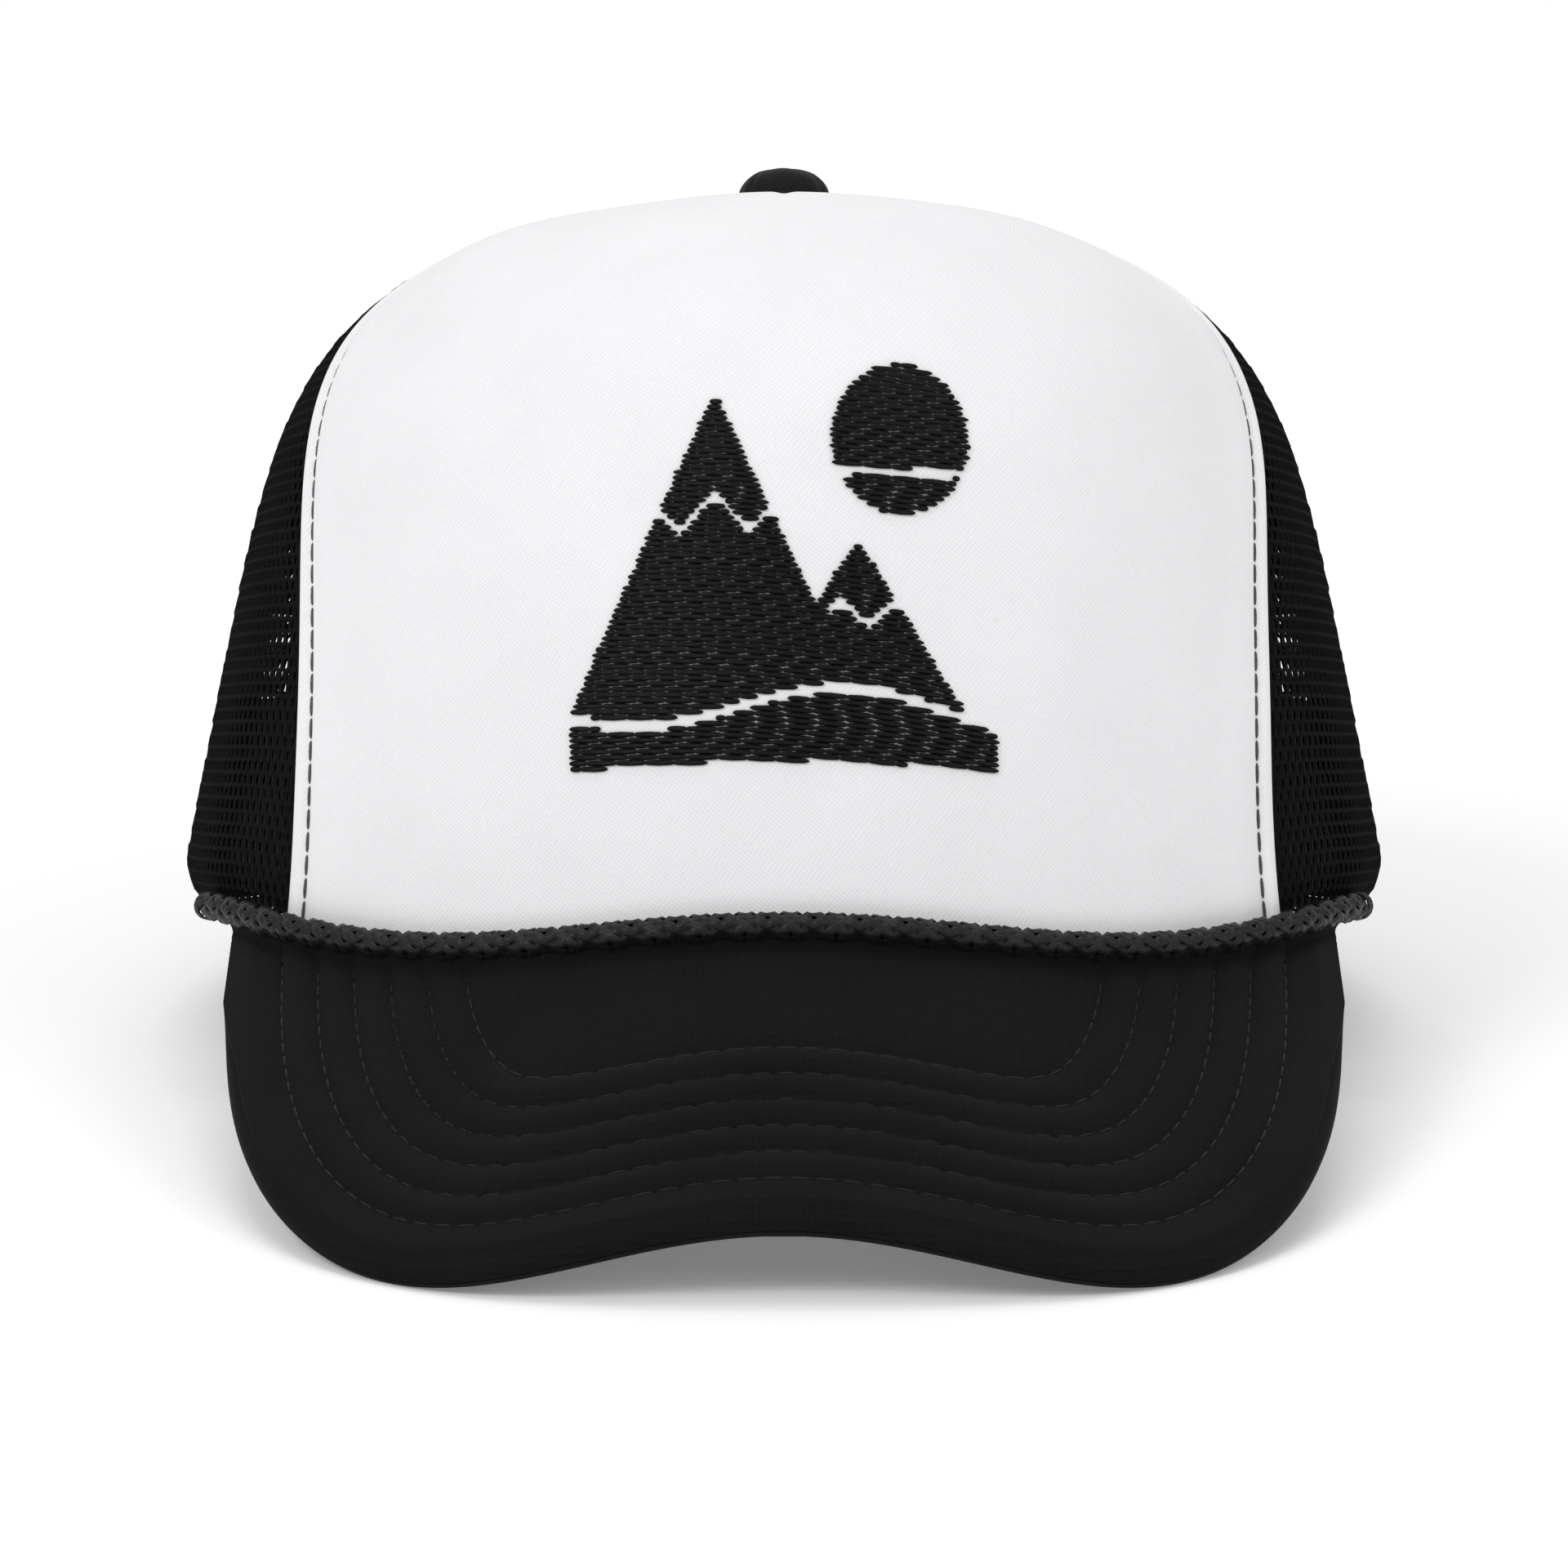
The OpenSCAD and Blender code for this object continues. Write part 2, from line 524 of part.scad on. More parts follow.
// ---- snap closure ----------------------------------------------------------------
// The strap with holes lies outside the strap with pegs. Each bends where it leaves
// its sewn tab, so it is a tab in the crown and a strap that turns on a round end.
bend_deg = arch_deg * sqrt(1 - pow(strap_top / arch_h, 2)) - arc_deg(2.6);
knuckle_d = strap_t + 0.2;     // the round end a strap turns on, a little thicker than it
bend_clear = arc_deg(knuckle_d / 2 + 0.1);
snap_deg = arc_deg(snap_pitch);
peg_mid = strap_z + strap_h / 2;
first_snap = 0.5;              // the pegs start half a pitch beside the middle
tip = 0.7;                     // strap beyond the last hole or peg, in pitches
peg_head = 0.3;                // the head of a peg is this much wider
// An arc of strap whose outer face has radius r, between two angles from the middle
module strap_arc(r, from, to) {
    steps = 24;
    spot = [for (i = [0 : steps]) let(a = (to - from) * i / steps) [cos(a), sin(a)]];
    translate([0, 0, strap_z]) rotate([0, 0, 90 + from]) linear_extrude(strap_h)
    polygon([for (i = [0 : steps]) r * spot[i], for (i = [steps : -1 : 0]) (r - strap_t) * spot[i]]);
}
module strap_knuckle(r, deg) {
    rotate([0, 0, 90 + deg]) translate([r - strap_t / 2, 0, strap_z])
    cylinder(d = knuckle_d, h = strap_h, $fn = 32);
}
// Something that points outwards through the strap at an angle from the middle
module at_snap(deg) { translate([0, 0, peg_mid]) rotate([0, 0, 90 + deg]) rotate([0, 90, 0]) children(); }
module snap_hole_tab() { color("#141414") stand() strap_arc(strap_r, -tab_deg, -bend_deg - bend_clear); }
module snap_hole_strap() {
    last = first_snap + peg_count - 1;
    color("#141414") stand() difference() {
        union() {
            strap_arc(strap_r, -bend_deg, (last + tip) * snap_deg);
            strap_knuckle(strap_r, -bend_deg);
        }
        for (k = [0 : hole_count - 1])
            if ((last - k) * snap_deg > -bend_deg + arc_deg(hole_d / 2 + 1.5))
                at_snap((last - k) * snap_deg)
                translate([0, 0, inner_r - 2]) cylinder(d = hole_d, h = strap_t + 8, $fn = 40);
    }
}
module snap_peg_tab() { color("#141414") stand() strap_arc(inner_r, bend_deg + bend_clear, tab_deg); }
module snap_peg_strap() {
    color("#141414") stand() union() {
        strap_arc(inner_r, (first_snap - tip) * snap_deg, bend_deg);
        strap_knuckle(inner_r, bend_deg);
        for (k = [0 : peg_count - 1])
            at_snap((first_snap + k) * snap_deg) {
                translate([0, 0, inner_r - 0.4]) cylinder(d = peg_d, h = strap_t + 1.4, $fn = 40);
                translate([0, 0, inner_r + strap_t + 0.6]) cylinder(d = peg_d + peg_head, h = 0.8, $fn = 40);
            }
    }
}

front_panel();
front_foam();
side_mesh_left();
side_mesh_right();
rear_mesh_left();
rear_mesh_right();
front_seam_tape_left();
front_seam_tape_right();
side_seam_tape_left();
side_seam_tape_right();
back_seam_tape();
crown_hem();
sweatband();
rear_opening_binding();
front_topstitch_left();
front_topstitch_right();
front_emblem();
button_cover();
button_cap();
button_rivet();
button_washer();
brim_top_cover();
brim_board();
brim_bottom_cover();
brim_stitching();
brim_cord();
cord_tack_left();
cord_tack_right();
snap_hole_tab();
snap_peg_tab();
snap_hole_strap();
snap_peg_strap();
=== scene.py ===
# A mesh-back cap standing on a white table, built round its CAD frame.
import json
import math
import bpy
import numpy as np
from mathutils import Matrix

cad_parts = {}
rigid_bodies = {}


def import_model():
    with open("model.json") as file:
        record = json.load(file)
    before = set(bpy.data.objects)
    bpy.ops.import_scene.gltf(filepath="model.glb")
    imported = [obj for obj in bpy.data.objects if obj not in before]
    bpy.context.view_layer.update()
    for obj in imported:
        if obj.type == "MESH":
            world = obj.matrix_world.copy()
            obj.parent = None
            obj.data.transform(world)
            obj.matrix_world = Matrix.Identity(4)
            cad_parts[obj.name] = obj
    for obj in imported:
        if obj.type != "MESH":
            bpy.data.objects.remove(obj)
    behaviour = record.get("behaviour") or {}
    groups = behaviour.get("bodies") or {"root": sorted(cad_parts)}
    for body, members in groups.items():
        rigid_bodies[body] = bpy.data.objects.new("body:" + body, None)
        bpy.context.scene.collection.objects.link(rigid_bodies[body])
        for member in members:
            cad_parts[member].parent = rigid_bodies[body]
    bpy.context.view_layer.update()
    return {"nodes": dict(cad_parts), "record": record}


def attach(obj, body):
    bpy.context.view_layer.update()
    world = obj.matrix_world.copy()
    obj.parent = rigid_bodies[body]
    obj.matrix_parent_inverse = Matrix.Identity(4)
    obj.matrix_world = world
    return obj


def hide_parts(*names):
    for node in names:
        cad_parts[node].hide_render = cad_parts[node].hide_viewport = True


for spare in list(bpy.data.objects):
    bpy.data.objects.remove(spare)
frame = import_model()
mm = 0.001
rng = np.random.default_rng(7)


# ---- camera and light ----
shot = {"elevation": 13, "distance": 1.2, "aimHeight": 0.0438, "lens": 185.8}


def addCamera():
    lift = math.radians(shot["elevation"])
    spot = (0, -shot["distance"] * math.cos(lift), shot["aimHeight"] + shot["distance"] * math.sin(lift))
    bpy.ops.object.camera_add(location=spot, rotation=(math.pi / 2 - lift, 0, 0))
    camera = bpy.context.object
    camera.data.lens = shot["lens"]
    camera.data.sensor_width = 36
    camera.data.dof.use_dof = False
    bpy.context.scene.camera = camera


light = {"world": 0.52, "keyPower": 9, "fillPower": 4, "backPower": 3, "topPower": 4, "floorGlow": 0.16}


def addAreaLight(name, spot, target, size, power):
    way = np.array(target) - np.array(spot)
    pitch = math.atan2(math.hypot(way[0], way[1]), -way[2])
    turn = math.atan2(way[1], way[0]) - math.pi / 2
    bpy.ops.object.light_add(type="AREA", location=spot, rotation=(pitch, 0, turn))
    lamp = bpy.context.object
    lamp.name = name
    lamp.data.size = size
    lamp.data.energy = power


def addStudio():
    world = bpy.data.worlds.new("studio")
    bpy.context.scene.world = world
    world.use_nodes = True
    shade = world.node_tree.nodes["Background"]
    shade.inputs["Color"].default_value = (1, 1, 1, 1)
    shade.inputs["Strength"].default_value = light["world"]
    addAreaLight("key", (-0.9, -1.0, 1.2), (0, 0, 0.05), 0.7, light["keyPower"])
    addAreaLight("fill", (1.1, -0.9, 0.9), (0, 0, 0.05), 0.9, light["fillPower"])
    addAreaLight("top", (0, 0.15, 1.4), (0, 0, 0.05), 0.8, light["topPower"])
    addAreaLight("behind", (0, 1.3, 0.8), (0, 0, 0.05), 1.0, light["backPower"])
    bpy.ops.mesh.primitive_plane_add(size=12, location=(0, 0, 0))
    floor = bpy.context.object
    floor.name = "floor"
    paper = bpy.data.materials.new("paper")
    paper.use_nodes = True
    shader = paper.node_tree.nodes["Principled BSDF"]
    shader.inputs["Base Color"].default_value = (0.93, 0.93, 0.93, 1)
    shader.inputs["Roughness"].default_value = 0.9
    shader.inputs["Emission Color"].default_value = (1, 1, 1, 1)
    shader.inputs["Emission Strength"].default_value = light["floorGlow"]
    floor.data.materials.append(paper)
    bpy.context.scene.view_settings.view_transform = "Standard"


addCamera()
addStudio()
print("camera and studio ready")

# ---- where the cap stands ----
headOpening = frame["record"]["mounts"][0]
hemDepth = 1.35 * mm
upWay = -np.array(headOpening["axis"], float)
upWay /= np.linalg.norm(upWay)
backWay = np.array([0, upWay[2], -upWay[1]])
rightWay = np.array([1.0, 0, 0])
crownWays = np.stack([rightWay, backWay, upWay])
standPoint = np.array(headOpening["pos_m"], float) + upWay * hemDepth


def stand(points):
    # from the crown's own axes to where the cap stands
    p = np.asarray(points, float)
    return standPoint + p[..., 0:1] * rightWay + p[..., 1:2] * backWay + p[..., 2:3] * upWay


# ---- crown surface, as in the frame ----
crown = {
    "halfWidth": 92.5 * mm, "halfLength": 92 * mm, "height": 106 * mm, "shoulder": 7.4,
    "sideLean": 21 * mm, "frontLean": 16 * mm, "frontRise": 12 * mm,
    "hemTuck": 4.5 * mm, "tuckHeight": 9 * mm, "tuckStart": 25, "tuckEnd": 152, "tuckFade": 20,
    "edgeDip": 3.6 * mm, "dipAngle": 66,
    "frontHalf": 52, "frontHalfTop": 84, "seamRise": 0.45, "sideSeam": 28, "sideSeamTop": 42,
    "topHole": 2.6 * mm,
}


def sinDeg(a):
    return np.sin(np.radians(a))


def cosDeg(a):
    return np.cos(np.radians(a))


def riseAngle(t):
    return 90 * np.power(t, crown["shoulder"] / 2)


def heightShare(t):
    return np.power(np.maximum(sinDeg(riseAngle(t)), 1e-12), 2 / crown["shoulder"])


def tAtHeight(z):
    share = np.clip(np.asarray(z, float) / crown["height"], 0, 0.98)
    return np.power(np.degrees(np.arcsin(np.power(share, crown["shoulder"] / 2))) / 90, 2 / crown["shoulder"])


def offFront(a):
    off = np.abs(a + 90)
    return np.minimum(off, 360 - off)


def edgeDrop(a):
    off = offFront(a)
    return np.where(off > crown["dipAngle"], 0, crown["edgeDip"] * sinDeg(180 * off / crown["dipAngle"]) ** 2)


def crownPoint(a, t):
    a, t = np.broadcast_arrays(np.asarray(a, float), np.asarray(t, float))
    front = np.clip(-sinDeg(a), 0, 1)
    side = crown["sideLean"] / crown["halfWidth"]
    lean = side + (crown["frontLean"] / crown["halfLength"] - side) * front ** 2
    share = heightShare(t)
    z = crown["height"] * share
    rho = cosDeg(riseAngle(t)) * (1 - lean * share)
    off = offFront(a)
    weight = np.clip((off - crown["frontHalf"]) / crown["tuckStart"], 0, 1)
    weight = weight * np.clip((crown["tuckEnd"] - off) / crown["tuckFade"], 0, 1)
    tuck = crown["hemTuck"] * weight * np.maximum(0, 1 - z / crown["tuckHeight"]) ** 2
    x = (crown["halfWidth"] - tuck) * cosDeg(a) * rho
    y = (crown["halfLength"] - tuck) * sinDeg(a) * rho
    z = z * (1 - crown["frontRise"] / crown["height"] * y / crown["halfLength"]) - edgeDrop(a) * (1 - share) ** 2
    return np.stack([x, y, z], -1)


def crownNormal(a, t):
    t = np.clip(t, 0.002, 0.996)
    across = crownPoint(a + 0.2, t) - crownPoint(a - 0.2, t)
    rise = crownPoint(a, t + 0.002) - crownPoint(a, t - 0.002)
    n = np.cross(across, rise)
    return n / np.linalg.norm(n, axis=-1, keepdims=True)


def shellPoint(a, t, d):
    return crownPoint(a, t) + np.asarray(d, float)[..., None] * crownNormal(a, t)


def ringRadius(t):
    return crown["halfWidth"] * np.maximum(0.06, cosDeg(riseAngle(t)))


def frontSeam(t):
    turn = np.power(riseAngle(t) / 90, crown["seamRise"])
    return -90 + crown["frontHalf"] + (crown["frontHalfTop"] - crown["frontHalf"]) * turn


def sideSeam(t):
    return crown["sideSeam"] + (crown["sideSeamTop"] - crown["sideSeam"]) * t


def toAngle(length, t):
    return np.degrees(length / ringRadius(t))


tTop = float(np.power(np.degrees(np.arccos(crown["topHole"] / (crown["halfWidth"] - crown["sideLean"]))) / 90,
                      2 / crown["shoulder"]))
seamGap = 0.2 * mm


# ---- mesh helpers ----
def addMesh(name, points, faces, uvs=None):
    mesh = bpy.data.meshes.new(name)
    mesh.from_pydata([tuple(p) for p in points], [], faces)
    if uvs is not None:
        layer = mesh.uv_layers.new(name="cloth")
        loops = np.zeros(len(mesh.loops), int)
        mesh.loops.foreach_get("vertex_index", loops)
        layer.data.foreach_set("uv", np.asarray(uvs, float)[loops].ravel())
    mesh.validate()
    piece = bpy.data.objects.new(name, mesh)
    bpy.context.collection.objects.link(piece)
    mesh.polygons.foreach_set("use_smooth", [True] * len(mesh.polygons))
    return piece


def clothUv(grid):
    # lengths along both ways of a grid, in metres, so that a weave keeps its scale
    u = np.zeros(grid.shape[:2])
    v = np.zeros(grid.shape[:2])
    u[1:] = np.cumsum(np.linalg.norm(np.diff(grid, axis=0), axis=-1), axis=0)
    v[:, 1:] = np.cumsum(np.linalg.norm(np.diff(grid, axis=1), axis=-1), axis=1)
    middle = np.broadcast_to(u[:, grid.shape[1] // 3][:, None], v.shape)
    return np.stack([middle, v], -1).reshape(-1, 2)


def sheetMesh(name, outer, inner):
    # a closed sheet between two grids of points, which see each other's face
    rows, cols = outer.shape[:2]
    count = rows * cols
    ids = np.arange(count).reshape(rows, cols)
    faces = []
    a, b, c, d = ids[:-1, :-1], ids[1:, :-1], ids[1:, 1:], ids[:-1, 1:]
    faces += np.stack([a, b, c, d], -1).reshape(-1, 4).tolist()
    faces += (np.stack([a, d, c, b], -1).reshape(-1, 4) + count).tolist()
    rim = np.concatenate([ids[:-1, 0], ids[-1, :-1], ids[:0:-1, -1], ids[0, :0:-1]])
    after = np.roll(rim, -1)
    faces += np.stack([rim, rim + count, after + count, after], -1).tolist()
    uv = clothUv(outer)
    piece = addMesh(name, np.concatenate([outer.reshape(-1, 3), inner.reshape(-1, 3)]), faces,
                    np.concatenate([uv, uv]))
    fixNormals(piece)
    return piece


def selectOnly(piece):
    bpy.ops.object.select_all(action="DESELECT")
    piece.select_set(True)
    bpy.context.view_layer.objects.active = piece


def fixNormals(piece):
    selectOnly(piece)
    bpy.ops.object.mode_set(mode="EDIT")
    bpy.ops.mesh.select_all(action="SELECT")
    bpy.ops.mesh.normals_make_consistent(inside=False)
    bpy.ops.object.mode_set(mode="OBJECT")
    bpy.ops.object.shade_smooth_by_angle(angle=math.radians(50))


def finishPiece(piece, finish, nodes=(), body="cap"):
    piece.data.materials.clear()
    piece.data.materials.append(finish)
    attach(piece, body)
    if nodes:
        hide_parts(*nodes)
    return piece


# ---- materials ----
def newNode(tree, kind, **values):
    node = tree.nodes.new(kind)
    for key, value in values.items():
        setattr(node, key, value)
    return node


def clothMaterial(name, look):
    # two crossed thread waves give the weave, broken up by noise; a soft sheen on top
    material = bpy.data.materials.new(name)
    material.use_nodes = True
    tree = material.node_tree
    shader = tree.nodes["Principled BSDF"]
    shader.inputs["Roughness"].default_value = look["roughness"]
    shader.inputs["Sheen Weight"].default_value = look.get("sheen", 0.2)
    shader.inputs["Sheen Roughness"].default_value = 0.5
    shader.inputs["Specular IOR Level"].default_value = look.get("specular", 0.25)
    place = newNode(tree, "ShaderNodeTexCoord")
    source = place.outputs["UV" if look.get("uv", True) else "Object"]
    warp = newNode(tree, "ShaderNodeMapping")
    warp.inputs["Rotation"].default_value = (0, 0, math.radians(look.get("turn", 0)))
    tree.links.new(source, warp.inputs["Vector"])
    waves = []
    for way, pitch in (("X", look["weft"]), ("Y", look["warp"])):
        wave = newNode(tree, "ShaderNodeTexWave", bands_direction=way)
        wave.inputs["Scale"].default_value = 0.314 / pitch
        wave.inputs["Distortion"].default_value = look.get("wobble", 1.2)
        wave.inputs["Detail"].default_value = 1
        wave.inputs["Detail Scale"].default_value = 2
        tree.links.new(warp.outputs["Vector"], wave.inputs["Vector"])
        waves.append(wave)
    weave = newNode(tree, "ShaderNodeMix", data_type="FLOAT")
    weave.inputs["Factor"].default_value = look.get("balance", 0.5)
    tree.links.new(waves[0].outputs["Fac"], weave.inputs["A"])
    tree.links.new(waves[1].outputs["Fac"], weave.inputs["B"])
    fuzz = newNode(tree, "ShaderNodeTexNoise")
    fuzz.inputs["Scale"].default_value = look.get("fuzzScale", 1400)
    fuzz.inputs["Detail"].default_value = 3
    tree.links.new(place.outputs["Object"], fuzz.inputs["Vector"])
    cloud = newNode(tree, "ShaderNodeTexNoise")
    cloud.inputs["Scale"].default_value = 60
    cloud.inputs["Detail"].default_value = 4
    tree.links.new(place.outputs["Object"], cloud.inputs["Vector"])
    relief = newNode(tree, "ShaderNodeMix", data_type="FLOAT")
    relief.inputs["Factor"].default_value = look.get("fuzz", 0.45)
    tree.links.new(weave.outputs["Result"], relief.inputs["A"])
    tree.links.new(fuzz.outputs["Fac"], relief.inputs["B"])
    bump = newNode(tree, "ShaderNodeBump")
    bump.inputs["Strength"].default_value = look.get("bump", 0.5)
    bump.inputs["Distance"].default_value = look.get("depth", 0.15 * mm)
    tree.links.new(relief.outputs["Result"], bump.inputs["Height"])
    tree.links.new(bump.outputs["Normal"], shader.inputs["Normal"])
    tone = newNode(tree, "ShaderNodeMix", data_type="FLOAT")
    tone.inputs["Factor"].default_value = 0.3
    tree.links.new(relief.outputs["Result"], tone.inputs["A"])
    tree.links.new(cloud.outputs["Fac"], tone.inputs["B"])
    ramp = newNode(tree, "ShaderNodeValToRGB")
    ramp.color_ramp.elements[0].position = 0.25
    ramp.color_ramp.elements[1].position = 0.75
    ramp.color_ramp.elements[0].color = (*look["dark"], 1)
    ramp.color_ramp.elements[1].color = (*look["light"], 1)
    tree.links.new(tone.outputs["Result"], ramp.inputs["Fac"])
    tree.links.new(ramp.outputs["Color"], shader.inputs["Base Color"])
    return material


def grey(value):
    return (value, value, value * 1.02)


cloths = {
    "whiteKnit": {"dark": grey(0.80), "light": grey(0.92), "roughness": 0.85, "sheen": 0.15, "specular": 0.1,
                  "weft": 0.62 * mm, "warp": 0.5 * mm, "turn": 38, "depth": 0.07 * mm, "fuzz": 0.4},
    "foam": {"dark": (0.55, 0.55, 0.52), "light": (0.78, 0.77, 0.73), "roughness": 0.95, "sheen": 0,
             "specular": 0.1, "weft": 1.1 * mm, "warp": 1.1 * mm, "fuzz": 0.9, "fuzzScale": 900,
             "depth": 0.3 * mm, "wobble": 8},
    "net": {"dark": grey(0.002), "light": grey(0.007), "roughness": 0.7, "sheen": 0, "specular": 0.08,
            "weft": 0.35 * mm, "warp": 0.35 * mm, "turn": 45, "depth": 0.08 * mm, "uv": False},
    "tape": {"dark": grey(0.005), "light": grey(0.018), "roughness": 0.75, "sheen": 0.04, "specular": 0.12,
             "weft": 0.45 * mm, "warp": 0.3 * mm, "depth": 0.1 * mm, "balance": 0.35},
    "twill": {"dark": grey(0.006), "light": grey(0.022), "roughness": 0.8, "sheen": 0.04, "specular": 0.12,
              "weft": 0.5 * mm, "warp": 1.2 * mm, "turn": 45, "depth": 0.12 * mm, "balance": 0.3},
    "blackKnit": {"dark": grey(0.0025), "light": grey(0.0085), "roughness": 0.8, "sheen": 0.015,
                  "specular": 0.07, "weft": 0.42 * mm, "warp": 1.3 * mm, "depth": 0.08 * mm,
                  "balance": 0.25, "fuzz": 0.4},
    "buttonCloth": {"dark": grey(0.004), "light": grey(0.013), "roughness": 0.75, "sheen": 0.04, "specular": 0.12,
                    "weft": 0.4 * mm, "warp": 0.4 * mm, "depth": 0.12 * mm, "uv": False},
    "greyThread": {"dark": grey(0.03), "light": grey(0.09), "roughness": 0.6, "weft": 0.25 * mm,
                   "warp": 0.25 * mm, "turn": 45, "depth": 0.05 * mm, "uv": False},
    "blackThread": {"dark": grey(0.002), "light": grey(0.008), "roughness": 0.5, "sheen": 0.02, "specular": 0.2,
                    "weft": 0.22 * mm, "warp": 0.22 * mm, "turn": 45, "depth": 0.05 * mm, "uv": False},
    "satinThread": {"dark": grey(0.002), "light": grey(0.006), "roughness": 0.45, "sheen": 0,
                    "specular": 0.14, "weft": 0.2 * mm, "warp": 0.2 * mm, "turn": 45, "depth": 0.05 * mm,
                    "uv": False},
    "cordYarn": {"dark": grey(0.003), "light": grey(0.014), "roughness": 0.42, "sheen": 0.02, "specular": 0.25,
                 "weft": 0.3 * mm, "warp": 0.3 * mm, "turn": 45, "depth": 0.06 * mm, "uv": False},
}
finishes = {name: clothMaterial(name, look) for name, look in cloths.items()}


def hardMaterial(name, look):
    # moulded plastic or plated metal, with fine flow marks and rubbed patches
    material = bpy.data.materials.new(name)
    material.use_nodes = True
    tree = material.node_tree
    shader = tree.nodes["Principled BSDF"]
    shader.inputs["Metallic"].default_value = look["metallic"]
    place = newNode(tree, "ShaderNodeTexCoord")
    grain = newNode(tree, "ShaderNodeTexNoise")
    grain.inputs["Scale"].default_value = look["grain"]
    grain.inputs["Detail"].default_value = 5
    tree.links.new(place.outputs["Object"], grain.inputs["Vector"])
    rough = newNode(tree, "ShaderNodeMapRange")
    rough.inputs["To Min"].default_value = look["roughness"] - 0.12
    rough.inputs["To Max"].default_value = look["roughness"] + 0.12
    tree.links.new(grain.outputs["Fac"], rough.inputs["Value"])
    tree.links.new(rough.outputs["Result"], shader.inputs["Roughness"])
    ramp = newNode(tree, "ShaderNodeValToRGB")
    ramp.color_ramp.elements[0].color = (*look["dark"], 1)
    ramp.color_ramp.elements[1].color = (*look["light"], 1)
    tree.links.new(grain.outputs["Fac"], ramp.inputs["Fac"])
    tree.links.new(ramp.outputs["Color"], shader.inputs["Base Color"])
    bump = newNode(tree, "ShaderNodeBump")
    bump.inputs["Strength"].default_value = 0.25
    bump.inputs["Distance"].default_value = 0.05 * mm
    tree.links.new(grain.outputs["Fac"], bump.inputs["Height"])
    tree.links.new(bump.outputs["Normal"], shader.inputs["Normal"])
    return material


finishes["plastic"] = hardMaterial("plastic", {"dark": grey(0.008), "light": grey(0.02), "metallic": 0,
                                               "roughness": 0.45, "grain": 900})
finishes["plated"] = hardMaterial("plated", {"dark": grey(0.5), "light": grey(0.7), "metallic": 1,
                                             "roughness": 0.35, "grain": 400})
finishes["board"] = hardMaterial("board", {"dark": grey(0.6), "light": grey(0.75), "metallic": 0,
                                           "roughness": 0.6, "grain": 300})
for nodeName, finishName in (("snap_hole_tab", "plastic"), ("snap_hole_strap", "plastic"),
                             ("snap_peg_tab", "plastic"), ("snap_peg_strap", "plastic"),
                             ("button_cap", "plated"), ("button_rivet", "plated"),
                             ("button_washer", "plated"), ("brim_board", "board")):
    node = frame["nodes"][nodeName]
    for slotIndex in range(len(node.material_slots)):
        node.material_slots[slotIndex].material = finishes[finishName]
print("materials ready")


# ---- threads: one stitch shape, laid along a line ----
def addStitches(name, starts, ends, lifts, width, height, finish, nodes=(), body="cap"):
    # each stitch is a small spindle from its start to its end, flattened along its lift
    sides, rings = 6, (0.0, 0.12, 0.5, 0.88, 1.0)
    swell = (0.25, 0.8, 1.0, 0.8, 0.25)
    starts, ends, lifts = (np.asarray(v, float) for v in (starts, ends, lifts))
    along = ends - starts
    across = np.cross(along, lifts)
    across /= np.linalg.norm(across, axis=-1, keepdims=True)
    lifts = lifts / np.linalg.norm(lifts, axis=-1, keepdims=True)
    points, faces = [], []
    for k in range(len(starts)):
        base = len(points)
        for place, size in zip(rings, swell):
            centre = starts[k] + along[k] * place
            for j in range(sides):
                turn = 2 * math.pi * j / sides
                points.append(centre + across[k] * (width / 2 * size * math.cos(turn))
                              + lifts[k] * (height / 2 * size * math.sin(turn)))
        for i in range(len(rings) - 1):
            for j in range(sides):
                m = (j + 1) % sides
                faces.append((base + i * sides + j, base + i * sides + m,
                              base + (i + 1) * sides + m, base + (i + 1) * sides + j))
        faces.append(tuple(base + j for j in range(sides - 1, -1, -1)))
        last = base + (len(rings) - 1) * sides
        faces.append(tuple(last + j for j in range(sides)))
    piece = addMesh(name, points, faces)
    fixNormals(piece)
    return finishPiece(piece, finish, nodes, body)


def layLine(path, lift, pitch, share):
    # starts, ends and lifts of stitches laid along a path
    steps = np.linalg.norm(np.diff(path, axis=0), axis=-1)
    run = np.concatenate([[0], np.cumsum(steps)])
    count = int(run[-1] / pitch)
    begin = np.arange(count) * pitch + (run[-1] - count * pitch) / 2
    take = lambda s, values: np.stack([np.interp(s, run, values[:, k]) for k in range(3)], -1)
    return take(begin, path), take(begin + pitch * share, path), take(begin + pitch * share / 2, lift)


def sewLine(name, path, lift, seam, nodes=()):
    starts, ends, lifts = layLine(path, lift, seam["pitch"], seam["share"])
    addStitches(name, starts, ends, lifts, seam["width"], seam["thick"], finishes["greyThread"],
                nodes)


# ---- front panel ----
frontLook = {"thickness": 1.0 * mm, "seamPuff": 0.55 * mm, "stitchIn": 3.8 * mm, "groove": 0.55 * mm,
             "dart": 0.3 * mm, "dartFoot": 0.52, "wave": 0.35 * mm, "columns": 200, "rows": 130}
topstitch = {"pitch": 3.4 * mm, "share": 0.9, "width": 0.72 * mm, "thick": 0.5 * mm}


